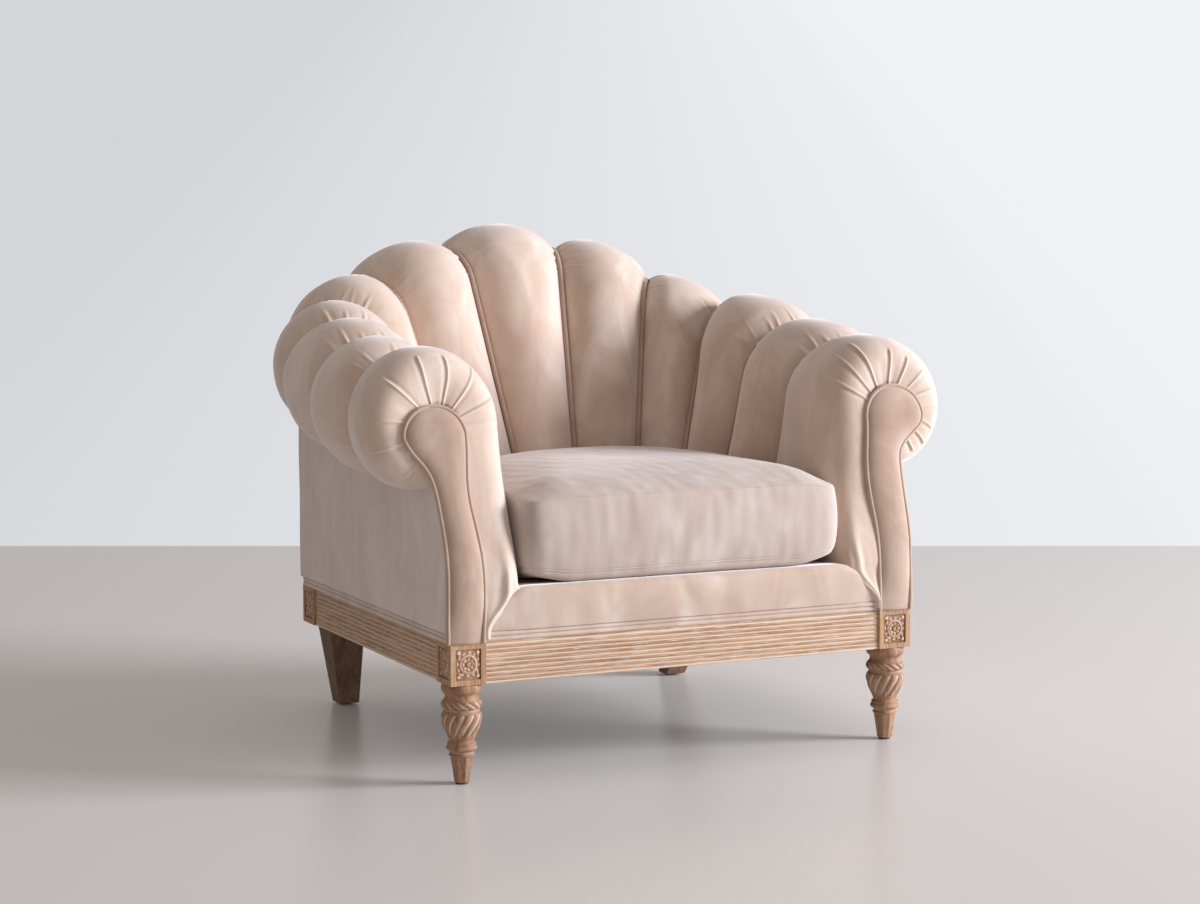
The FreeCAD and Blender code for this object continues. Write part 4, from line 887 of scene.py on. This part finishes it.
def cushion_details(rings):
    """Seams drawn in by a millimetre, slow waves on the top and finer upright ones on the border."""
    out = unit(rings - [*CUSHION_MIDDLE, CUSHION_MIDDLE_Z])
    seam = np.zeros(len(rings))
    seam[[2 * LOW_ROW, 2 * HIGH_ROW]] = 0.0014
    waves = 0.0012 * soft_waves(rings, 0.16, 93) + 0.0005 * soft_waves(rings * [1, 1, 0.25], 0.030, 94)
    above = ease(CUSHION_LOW, CUSHION_LOW + 0.02, rings[..., 2])
    return rings + out * (waves * above - seam[:, None])[..., None]


def behind_zip(rings):
    """The back border laid in behind the zip's tape, and full again 30 mm away from it."""
    low, high = np.array(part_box("cushion_zip_tape"))
    over = np.abs(rings[..., 2] - (low[2] + high[2]) / 2) - (high[2] - low[2]) / 2
    beside = np.abs(rings[..., 0]) - high[0]
    flat = (1 - ease(0.0005, 0.030, over)) * (1 - ease(0.0005, 0.035, beside))
    proud = np.maximum(rings[..., 1] - low[1] - 0.0003, 0)
    print("back border laid in by up to", round(1000 * float((proud * flat).max()), 1), "mm")
    return np.stack([rings[..., 0], rings[..., 1] - proud * flat, rings[..., 2]], -1)


cushion_skin = behind_zip(cushion_details(cushion_skin))
cushion = skin("seat_cushion", cushion_skin, "seat_cushion")
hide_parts("seat_cushion")


# %% The cushion's seams
def seam_loop(row, out=0.0004):
    """A loop along a seam row of the cushion, moved outwards a little; its ends meet at the back."""
    ring = np.roll(cushion_skin[row], cushion_skin.shape[1] // 2, axis=0)
    loop = ring + unit(ring - ring.mean(0)) * out
    return even_line(np.concatenate([loop, loop[:1]]), 700)[:-1]


seam_rings = [cord_rings(seam_loop(2 * row), 0.0011, UP, 8) for row in (LOW_ROW, HIGH_ROW)]
skins("cushion_seams", seam_rings, "seat_cushion")
print("cushion top at", round(max(v.co.z for v in cushion.data.vertices), 3), "m")

# %% [markdown]
# ## Turned front legs
#
# The front legs are turned oak with carved work: a rope ring, a vase with slanting flutes, a collar
# and a foot with eight flat sides. The radius is one function of the height and of the angle: the
# turner's profile, plus the carver's cuts where they are.

# %% Front legs
LEG_PROFILE = np.array([
    (.1500, .0270), (.1488, .0288), (.1460, .0299), (.1430, .0302), (.1400, .0299), (.1375, .0286),
    (.1362, .0268), (.1345, .0252), (.1310, .0243), (.1280, .0248), (.1262, .0262), (.1252, .0266),
    (.1244, .0280), (.1220, .0298), (.1190, .0305), (.1160, .0301), (.1136, .0284), (.1126, .0266),
    (.1116, .0258), (.1104, .0262), (.1094, .0262), (.1085, .0262), (.1060, .0288), (.1020, .0302),
    (.0970, .0303), (.0900, .0288), (.0830, .0262), (.0760, .0230), (.0700, .0200), (.0655, .0182),
    (.0640, .0180), (.0632, .0196), (.0618, .0212), (.0600, .0212), (.0586, .0204), (.0578, .0212),
    (.0556, .0228), (.0532, .0228), (.0514, .0214), (.0500, .0190), (.0478, .0172), (.0462, .0170),
    (.0455, .0186), (.0440, .0192), (.0424, .0184), (.0416, .0172), (.0400, .0172), (.0250, .0146),
    (.0080, .0120), (.0034, .0114), (.0030, .0100)])
BLOCK, BLOCK_X, BLOCK_Z, LEG_Y = 0.056, 0.363, 0.1805, 0.028
BASE_HALF, BASE_DEPTH = 0.391, 0.654


def leg_surface(x, y, rows=270, columns=126):
    """Rings of the leg: radius = profile(z) + rope + flutes, and the lower part has eight flats.
    Also the depth of the cuts, from 0 on the crests to 1 in the hollows."""
    z = np.linspace(.1500, .0030, rows)[:, None]
    theta = np.linspace(0, 2 * math.pi, columns, endpoint=False)[None]
    radius = np.interp(-z[:, 0], -LEG_PROFILE[:, 0], LEG_PROFILE[:, 1])[:, None] + theta * 0
    rope_band = ease(.1126, .1150, z) * (1 - ease(.1226, .1250, z))
    rope = np.abs(np.sin(7 * theta + (z - .119) * 330))
    flute_band = ease(.0680, .0780, z) * (1 - ease(.1040, .1075, z))
    flute = np.abs(np.sin(6 * theta - (z - .09) * 120))
    facet = math.pi / 8
    flat = np.cos(facet) / np.cos(np.mod(theta, 2 * facet) - facet)
    facet_band = 1 - ease(.0405, .0425, z)
    radius = radius - 0.0030 * rope_band * (1 - rope) ** 1.4 - 0.0034 * flute_band * (1 - flute) ** 1.3
    radius = radius * (1 + facet_band * (flat * 1.03 - 1))
    hollow = rope_band * (1 - rope) ** 1.2 + flute_band * (1 - flute) ** 1.2
    ring = np.stack([x + radius * np.cos(theta), y + radius * np.sin(theta), z + theta * 0], -1)
    return ring, np.clip(hollow, 0, 1)


def add_lime_and_painted_highlight(piece, values):
    """Writes the lime value of each point, for the finish: lime paste in a leg's hollows, or a painted
    highlight on a rosette's raised parts.
    """
    layer = piece.data.attributes.new("lime", "FLOAT", "POINT")
    layer.data.foreach_set("value", np.asarray(values, np.float32).ravel())


for label, side in SIDES:
    rings, hollow = leg_surface(side * BLOCK_X, LEG_Y - BACKWARD)
    piece = skin("front_leg_" + label, rings)
    profile_dip = np.interp(-rings[:, 0, 2], -LEG_PROFILE[:, 0], LEG_PROFILE[:, 1])
    smooth = np.convolve(np.pad(profile_dip, 10, mode="edge"), np.ones(21) / 21, "valid")
    grooves = np.clip((smooth - profile_dip) / 0.0022, 0, 1)[:, None]
    add_lime_and_painted_highlight(piece, np.append(np.clip(hollow + 0.7 * grooves, 0, 1).ravel(), [0, 0]))
    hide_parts("front_leg_" + label)

# %% [markdown]
# ## Carved rosettes
#
# Each corner block has a sunk square with a carved flower. Carving is a height over a flat ground,
# so it is a grid whose height adds a ring, petals, a boss and four corner leaves.

# %% Rosettes
def rosette_height(u, w):
    """Height of the carving at u across and w up, in metres from the middle: a ring is a bell in
    the radius, petals are bells in the radius times a cosine of the angle."""
    r = np.hypot(u, w)
    theta = np.arctan2(w, u)
    ring = 0.0022 * np.exp(-((r - 0.0128) / 0.0017) ** 2)
    petals = 0.0020 * np.exp(-((r - 0.0078) / 0.0027) ** 2) * (0.35 + 0.65 * np.abs(np.cos(4 * theta)))
    boss = 0.0022 * np.exp(-(r / 0.0027) ** 4)
    outer = 0.0016 * np.exp(-((r - 0.0172) / 0.0020) ** 2) * np.abs(np.cos(6 * theta + 0.4))
    corner = 0.0020 * np.exp(-((np.abs(u) - 0.0152) ** 2 + (np.abs(w) - 0.0172) ** 2) / 0.0036 ** 2)
    return ring + petals + boss + outer + corner


def rosette_rings(half_wide, half_high, count=60):
    """The carved ground as a closed slab: rows run up, columns run across and back behind. Also
    a painted highlight for each point, paler where the carving stands high.
    """
    u = np.linspace(-half_wide, half_wide, count)[None] + np.zeros((count, 1))
    w = np.linspace(-half_high, half_high, count)[:, None] + np.zeros((1, count))
    edge = ease(0, 0.0012, half_wide - np.abs(u)) * ease(0, 0.0012, half_high - np.abs(w))
    high = rosette_height(u, w) * edge + 0.00035
    front = np.stack([u, -high, w], -1)
    back = np.stack([u, high * 0 + 0.0004, w], -1)[:, ::-1]
    # Painted highlight: the raised parts of the flower are given more of the pale lime colour.
    depth = 0.80 * np.clip((high - 0.0004) / 0.0016, 0, 1)
    return np.concatenate([front, back], 1), np.concatenate([depth, depth[:, ::-1]], 1)


SUNK = 0.0031
for label, side in SIDES:
    for place, y_low, face in (("front", -BACKWARD, -1), ("rear", BASE_DEPTH - BLOCK - BACKWARD, 1)):
        rings, depth = rosette_rings(0.020, 0.0225)
        middle_x, middle_z = side * BLOCK_X, BLOCK_Z
        plane_y = y_low if face < 0 else y_low + BLOCK
        facing_out = np.stack([middle_x - face * rings[..., 0],
                               plane_y - face * (SUNK + rings[..., 1]),
                               middle_z + rings[..., 2]], -1)
        facing_side = np.stack([side * (BASE_HALF - SUNK - rings[..., 1]),
                                y_low + BLOCK / 2 + side * rings[..., 0],
                                middle_z + rings[..., 2]], -1)
        piece = skins("carving_%s_%s" % (place, label), [facing_out, facing_side])
        # The flower's pale raised parts are a painted highlight, carried in the lime values.
        lime = np.append(depth.ravel(), [0, 0])
        add_lime_and_painted_highlight(piece, np.tile(lime, 2))


# %% [markdown]
# ## Velvet
#
# Velvet is a short pile of fibres that stand on a backing. Looked at along the fibres it is deep
# and soft, and at a glancing angle the fibres catch the light, so its edges are paler: the sheen of
# the shader does part of that, and a painted sheen, a paler colour mixed in at glancing angles,
# does the rest. The nap lies in slightly different directions after use, which shows as cloudy,
# paler and darker strokes. The lamps here are simpler than the light the chair stood in, so the
# one velvet of the chair is painted in a few close tones of light and shade: paler for the parts
# that took more light, darker for those that took less. The pile itself is a third of a
# millimetre wide, too fine for this picture, so the grain is drawn about a millimetre wide.

# %% Colours and nodes
def linear(hex_colour):
    """An sRGB hex value as linear red, green and blue, with the usual curve."""
    channels = [int(hex_colour[k:k + 2], 16) / 255 for k in (0, 2, 4)]
    return [c / 12.92 if c <= 0.04045 else ((c + 0.055) / 1.055) ** 2.4 for c in channels] + [1.0]


def node(tree, kind, settings=None, links=None, **values):
    """Adds one node: settings are its properties, values its sockets by name, and links join its
    sockets to other nodes' outputs."""
    made = tree.nodes.new(kind)
    for key, value in (settings or {}).items():
        setattr(made, key, value)
    for key, value in values.items():
        made.inputs[key.replace("_", " ")].default_value = value
    for socket, output in (links or {}).items():
        tree.links.new(output, made.inputs[socket])
    return made


def noise(tree, vector, **values):
    """The grey value of a noise texture."""
    return node(tree, "ShaderNodeTexNoise", links={"Vector": vector}, **values).outputs["Fac"]


def mapped(tree, vector, scale):
    """A vector with each axis scaled on its own."""
    made = node(tree, "ShaderNodeMapping", links={"Vector": vector}, Scale=tuple(scale))
    return made.outputs["Vector"]


def calculate(tree, operation, first, second):
    """The result of one sum of nodes: first is an output, second an output or a number."""
    made = node(tree, "ShaderNodeMath", {"operation": operation}, {0: first})
    if isinstance(second, float):
        made.inputs[1].default_value = second
    else:
        tree.links.new(second, made.inputs[1])
    return made.outputs[0]


def mixed_colour(tree, share, first, second):
    """A colour between the output first and the fixed colour second, by the output share."""
    made = node(tree, "ShaderNodeMix", {"data_type": "RGBA"})
    tree.links.new(share, made.inputs["Factor"])
    tree.links.new(first, made.inputs[6])
    made.inputs[7].default_value = linear(second)
    return made.outputs[2]


def ramp(tree, value, stops):
    """A colour ramp over a value: stops are (place, linear colour)."""
    made = node(tree, "ShaderNodeValToRGB", links={"Fac": value})
    while len(made.color_ramp.elements) < len(stops):
        made.color_ramp.elements.new(0.5)
    for element, (spot, colour) in zip(made.color_ramp.elements, stops):
        element.position = spot
        element.color = colour
    return made.outputs["Color"]


def new_material(name):
    """An empty material and its node tree."""
    material = bpy.data.materials.new(name)
    material.use_nodes = True
    tree = material.node_tree
    tree.nodes.clear()
    return material, tree


def painted(tree, colour, height, strength, depth, **values):
    """The principled shader with a colour, a bump of a depth in metres, and fixed values."""
    bump = node(tree, "ShaderNodeBump", links={"Height": height}, Strength=strength, Distance=depth)
    return node(tree, "ShaderNodeBsdfPrincipled", None,
                {"Base Color": colour, "Normal": bump.outputs["Normal"]}, **values)


def finish_material(tree, shader):
    """Sends a shader's result to the surface."""
    output = tree.nodes.new("ShaderNodeOutputMaterial")
    tree.links.new(shader.outputs[0], output.inputs["Surface"])


def velvet(name, dark, middle, light, painted_sheen_colour="EDE5E2", sheen=0.85):
    """Cotton velvet: cloudy nap in three close colours, strong sheen, a painted sheen that turns the
    colour paler at glancing angles, and a fine grain for the pile.
    """
    material, tree = new_material(name)
    place = node(tree, "ShaderNodeTexCoord").outputs["Object"]
    clouds = noise(tree, mapped(tree, place, (1.0, 1.0, 0.42)), Scale=16.0, Detail=4.0,
                   Roughness=0.55, Distortion=0.9)
    colour = ramp(tree, clouds, [(0.30, linear(dark)), (0.50, linear(middle)), (0.68, linear(light))])
    # Painted sheen: the colour is mixed towards a pale one where the surface is seen at a glancing
    # angle.
    glance = node(tree, "ShaderNodeLayerWeight", Blend=0.35)
    painted_sheen_share = ramp(tree, glance.outputs["Facing"], [(0.15, (0, 0, 0, 1)), (0.95, (0.55, 0.55, 0.55, 1))])
    colour = mixed_colour(tree, painted_sheen_share, colour, painted_sheen_colour)
    pile = noise(tree, place, Scale=900.0, Detail=2.0, Roughness=0.6)
    shader = painted(tree, colour, pile, 0.10, 0.0006, Roughness=0.95, IOR=1.45,
                     Sheen_Weight=sheen, Sheen_Roughness=0.35)
    shader.inputs["Sheen Tint"].default_value = linear("F6F0F2")
    shader.inputs["Specular IOR Level"].default_value = 0.12
    finish_material(tree, shader)
    return material


# The one velvet in close tones, with painted light and shade: the first is the middle tone; the second
# is paler, painted light; the third is darker, painted shade; the fourth is darker and less glossy,
# painted shade; the fifth, darker and tanner, is for the seam piping; the sixth is paler, painted
# light.
blush_velvet = velvet("blush_velvet", "C3AB9A", "CEB8A8", "D9C8BB")
painted_light_velvet = velvet("painted_light_velvet", "D2B9A7", "DCC6B6", "E5D4C7")
painted_shade_facing_velvet = velvet("painted_shade_facing_velvet", "AD9380", "B79E8C", "C2AC9D", "D6C9C0")
painted_shade_cushion_velvet = velvet("painted_shade_cushion_velvet", "BBA99D", "C5B4A9", "CEC2BA", "DED9D7", 0.42)
piping_velvet = velvet("piping_velvet", "AE8F7D", "B99A88", "C3A695", "D5C3B8")
painted_light_outside_velvet = velvet("painted_light_outside_velvet", "D2C0B8", "DACAC3", "E3D5CF")


# %% Limed oak
def limed_oak(name, along, tones=("96694A", "B48863", "C8A27C"), groove=None, attribute=False,
              filled=0.75):
    """Oak, brushed and limed: honey wood whose open pores and grooves hold white paste. Pores are
    0.4 mm wide and some 20 mm long, so the noise is stretched fifty times along the grain. groove is
    the pitch and start of the reeds, which hold lime between them, and filled is how white the
    pores are. With attribute, the piece's own lime values add paste where a leg's carving is deep,
    and a painted highlight where a rosette's carving stands high."""
    material, tree = new_material(name)
    place = node(tree, "ShaderNodeTexCoord").outputs["Object"]
    fine = mapped(tree, place, [30.0 if axis == along else 900.0 for axis in "XYZ"])
    broad = mapped(tree, place, [7.0 if axis == along else 110.0 for axis in "XYZ"])
    pores = noise(tree, fine, Scale=1.0, Detail=3.0, Roughness=0.6, Distortion=0.3)
    figure = noise(tree, broad, Scale=1.0, Detail=4.0, Roughness=0.55, Distortion=0.8)
    wood = ramp(tree, figure, [(0.30 + 0.2 * k, linear(tone)) for k, tone in enumerate(tones)])
    lime = ramp(tree, pores, [(0.52, (0, 0, 0, 1)), (0.66, (filled, filled, filled, 1))])
    amount = lime
    if groove:
        pitch, start = groove
        split = node(tree, "ShaderNodeSeparateXYZ", links={"Vector": place})
        reed = calculate(tree, "DIVIDE", calculate(tree, "SUBTRACT", split.outputs["Z"], start), pitch)
        share = calculate(tree, "PINGPONG", reed, 0.5)
        hollow = ramp(tree, share, [(0.09, (0.95, 0.95, 0.95, 1)), (0.19, (0, 0, 0, 1))])
        amount = calculate(tree, "MAXIMUM", lime, hollow)
    if attribute:
        # The lime values: paste in a leg's carved hollows, and a painted highlight on a rosette's
        # raised parts.
        paste = node(tree, "ShaderNodeAttribute", {"attribute_name": "lime"}).outputs["Fac"]
        deep = ramp(tree, paste, [(0.40, (0, 0, 0, 1)), (0.80, (0.85, 0.85, 0.85, 1))])
        amount = calculate(tree, "MAXIMUM", lime, deep)
    colour = mixed_colour(tree, amount, wood, "DFD3C5")
    finish_material(tree, painted(tree, colour, pores, 0.35, 0.0006, Roughness=0.62, IOR=1.5))
    return material


REEDS = (0.048 / 7, 0.159)
oak_across = limed_oak("limed_oak_front_rail", "X", groove=REEDS)
oak_deep = limed_oak("limed_oak_side_rail", "Y", groove=REEDS)
oak_block = limed_oak("limed_oak_block", "Z", ("9A6C47", "B0835C", "C29971"), filled=0.5)
oak_carved = limed_oak("limed_oak_carved", "Z", ("845C42", "9F7455", "B58A69"), attribute=True,
                       filled=0.35)
oak_dark = limed_oak("limed_oak_rear_leg", "Z", ("5C3F2E", "70513C", "84634B"), filled=0.15)


# %% [markdown]
# ## Hidden pieces
#
# The frame, springs and padding aren't seen in the photograph, but they show when the cushion is
# lifted or the chair is turned over, so each gets the finish of its real material.

# %% Plain finishes
def plain(name, low, high, scale, roughness, metallic=0.0, bump_depth=0.0003):
    """A plain material whose colour drifts between two close tones, with a fine grain."""
    material, tree = new_material(name)
    place = node(tree, "ShaderNodeTexCoord").outputs["Object"]
    grain = noise(tree, place, Scale=scale, Detail=4.0)
    colour = ramp(tree, grain, [(0.35, linear(low)), (0.65, linear(high))])
    shader = painted(tree, colour, grain, 0.3, bump_depth, Roughness=roughness, Metallic=metallic)
    finish_material(tree, shader)
    return material


beech = plain("frame_beech", "B99A72", "CBB08A", 60.0, 0.6)
spring_wire = plain("spring_steel", "6E6A66", "8A8580", 40.0, 0.35, 1.0)
zinc = plain("zinc_plated_steel", "A9ABAE", "C2C4C6", 90.0, 0.3, 1.0)
glide = plain("nylon_glide", "3B3836", "4A4643", 120.0, 0.5)
bottom_cloth = plain("bottom_cloth", "3E3B39", "4C4946", 700.0, 0.95)
deck_cloth = plain("deck_cloth", "97867A", "A5958A", 700.0, 0.95)
calico = plain("calico", "CFC3AE", "DDD2BF", 600.0, 0.9)
zip_cloth = plain("zip_tape", "9C8678", "AA9587", 800.0, 0.85)

NODE_FINISHES = (
    (oak_across, ("front_rail", "rear_rail")),
    (oak_deep, ("left_rail", "right_rail")),
    (oak_block, ("corner_block_front_left", "corner_block_front_right", "corner_block_rear_left",
                 "corner_block_rear_right")),
    (oak_dark, ("rear_leg_left", "rear_leg_right")),
    (beech, ("corner_braces", "seat_frame_front", "seat_frame_rear", "seat_frame_left",
             "seat_frame_right", "arm_board_left", "arm_board_right", "arm_rail_left",
             "arm_rail_right", "rear_post_left", "rear_post_right", "back_stays")),
    (spring_wire, ("seat_springs", "spring_clips")),
    (zinc, ("leg_hanger_bolts", "brace_screws", "cushion_zip_slider")),
    (glide, ("foot_glides",)),
    (bottom_cloth, ("dust_cover",)),
    (deck_cloth, ("deck_pad",)),
    (calico, ("roll_core", "lining", "cushion_core")),
    (zip_cloth, ("cushion_zip_tape",)),
)
for material, names in NODE_FINISHES:
    for name in names:
        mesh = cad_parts[name].data
        mesh.materials.clear()
        mesh.materials.append(material)


def finish_for(name):
    """The finish of a new piece and a slot name, both from its name. The right outside arm faces the
    window, so it is given the facings' darker tone, a painted shade."""
    if "welt" in name:
        return blush_velvet, "velvet_piping"
    if "seam_piping" in name:
        return piping_velvet, "velvet_piping"
    # Facing piping, facings and the right outside arm take the darker tone: painted shade.
    if "piping" in name:
        return painted_shade_facing_velvet, "velvet_piping"
    if "facing" in name or name == "outside_arm_right":
        return painted_shade_facing_velvet, "velvet"
    # The outside panels take a paler tone: painted light.
    if name.startswith("outside"):
        return painted_light_outside_velvet, "velvet"
    if name.startswith("front_leg") or name.startswith("carving"):
        return oak_carved, "limed_oak"
    # The cushion takes a darker, less glossy tone: painted shade.
    if "cushion" in name:
        return painted_shade_cushion_velvet, "velvet"
    # The left and middle channels take a paler tone: painted light.
    if "channel_left" in name or "channel_middle" in name:
        return painted_light_velvet, "velvet"
    return blush_velvet, "velvet"


for name, piece in pieces.items():
    material, slot_name = finish_for(name)
    piece.data.materials.append(material)
print(len(pieces), "pieces dressed")

# %% [markdown]
# ## Floor, light and camera
#
# A pale floor, a pale backdrop that rises gently behind the chair, one large soft lamp at the front
# right and a dim even sky, which the camera sees as pale as the backdrop. The camera stands where
# the photographer stood: in front and to the left, a little above the arms.

# %% Stage
def stage_plane(name, size, location, rotation, material):
    """A square that belongs to the stage, not to the chair."""
    mesh = bpy.data.meshes.new(name)
    half = size / 2
    corners = [(-half, -half, 0), (half, -half, 0), (half, half, 0), (-half, half, 0)]
    mesh.from_pydata(corners, [], [(0, 1, 2, 3)])
    mesh.materials.append(material)
    plane = bpy.data.objects.new(name, mesh)
    plane.location = location
    plane.rotation_euler = rotation
    bpy.context.scene.collection.objects.link(plane)


def stage_paint(name, colour, roughness):
    """An even paint."""
    material, tree = new_material(name)
    shader = node(tree, "ShaderNodeBsdfPrincipled", Roughness=roughness)
    shader.inputs["Base Color"].default_value = linear(colour)
    finish_material(tree, shader)
    return material


def stage_glow(name, left, right):
    """A backdrop that the camera and glossy rays see as a glow at its own colour, with painted light
    that makes it paler towards the window.
    """
    material, tree = new_material(name)
    place = node(tree, "ShaderNodeTexCoord").outputs["Object"]
    # Painted light: the backdrop is paler towards the window, on the right.
    across = node(tree, "ShaderNodeSeparateXYZ", links={"Vector": place}).outputs["X"]
    way = node(tree, "ShaderNodeMapRange", links={"Value": across}, From_Min=-2.0, From_Max=2.0)
    colour = ramp(tree, way.outputs["Result"], [(0.0, linear(left)), (1.0, linear(right))])
    path = node(tree, "ShaderNodeLightPath")
    seen = calculate(tree, "MAXIMUM", path.outputs["Is Camera Ray"], path.outputs["Is Glossy Ray"])
    glow = node(tree, "ShaderNodeEmission", links={"Color": colour}, Strength=1.0)
    matt = node(tree, "ShaderNodeBsdfDiffuse", links={"Color": colour})
    finish_material(tree, node(tree, "ShaderNodeMixShader", links={0: seen, 1: matt.outputs["BSDF"],
                                                                   2: glow.outputs["Emission"]}))
    return material


BACKDROP_FOOT, BACKDROP_RISE, BACKDROP_TURN = (0.88, 1.89, 0), math.radians(10), math.radians(-25.6)
stage_plane("floor", 16, (0, 0, 0), (0, 0, 0), stage_paint("floor_paint", "E6E3E0", 0.28))
stage_plane("backdrop", 60, BACKDROP_FOOT, (BACKDROP_RISE, 0, BACKDROP_TURN),
            stage_glow("backdrop_painted_window_light", "D3D5D8", "F0F1F5"))


def area_light(name, location, target, size, power, colour):
    """A soft rectangular lamp of a power in watts, turned towards a target."""
    lamp = bpy.data.lights.new(name, "AREA")
    lamp.shape = "RECTANGLE"
    lamp.size, lamp.size_y = size
    lamp.energy = power
    lamp.color = linear(colour)[:3]
    holder = bpy.data.objects.new(name, lamp)
    holder.location = location
    direction = np.array(target) - np.array(location)
    yaw = math.atan2(direction[1], direction[0]) - math.pi / 2
    pitch = math.atan2(math.hypot(direction[0], direction[1]), -direction[2])
    holder.rotation_euler = (pitch, 0, yaw)
    bpy.context.scene.collection.objects.link(holder)


area_light("window", (6.0, -3.6, 2.2), (0, 0, 0.45), (3.0, 2.7), 790, "F5F7FF")
area_light("ceiling", (0.4, -0.4, 3.0), (0, 0, 0.4), (2.6, 2.6), 4, "FFFFFF")
world = bpy.data.worlds.new("sky")
world.use_nodes = True
world_tree = world.node_tree
background = world_tree.nodes["Background"]
background.inputs["Color"].default_value = linear("F3EAE4")
background.inputs["Strength"].default_value = 0.42
dim = background.outputs["Background"]
pale = node(world_tree, "ShaderNodeBackground", Color=linear("E4E6E9"), Strength=1.0)
by_camera = node(world_tree, "ShaderNodeLightPath").outputs["Is Camera Ray"]
sky = node(world_tree, "ShaderNodeMixShader", links={0: by_camera, 1: dim,
                                                     2: pale.outputs["Background"]})
world_tree.links.new(sky.outputs["Shader"], world_tree.nodes["World Output"].inputs["Surface"])
bpy.context.scene.world = world

lens = bpy.data.cameras.new("camera")
lens.lens = 75.0
lens.sensor_width = 36.0
camera = bpy.data.objects.new("camera", lens)
LOOKS_DOWN, TURNED = math.radians(5.55), math.radians(25.61)
camera.location = (-1.737, -3.307 - BACKWARD, 0.838)
camera.rotation_euler = (math.pi / 2 - LOOKS_DOWN, 0, -TURNED)
bpy.context.scene.collection.objects.link(camera)
bpy.context.scene.camera = camera
bpy.context.scene.view_settings.view_transform = "Standard"
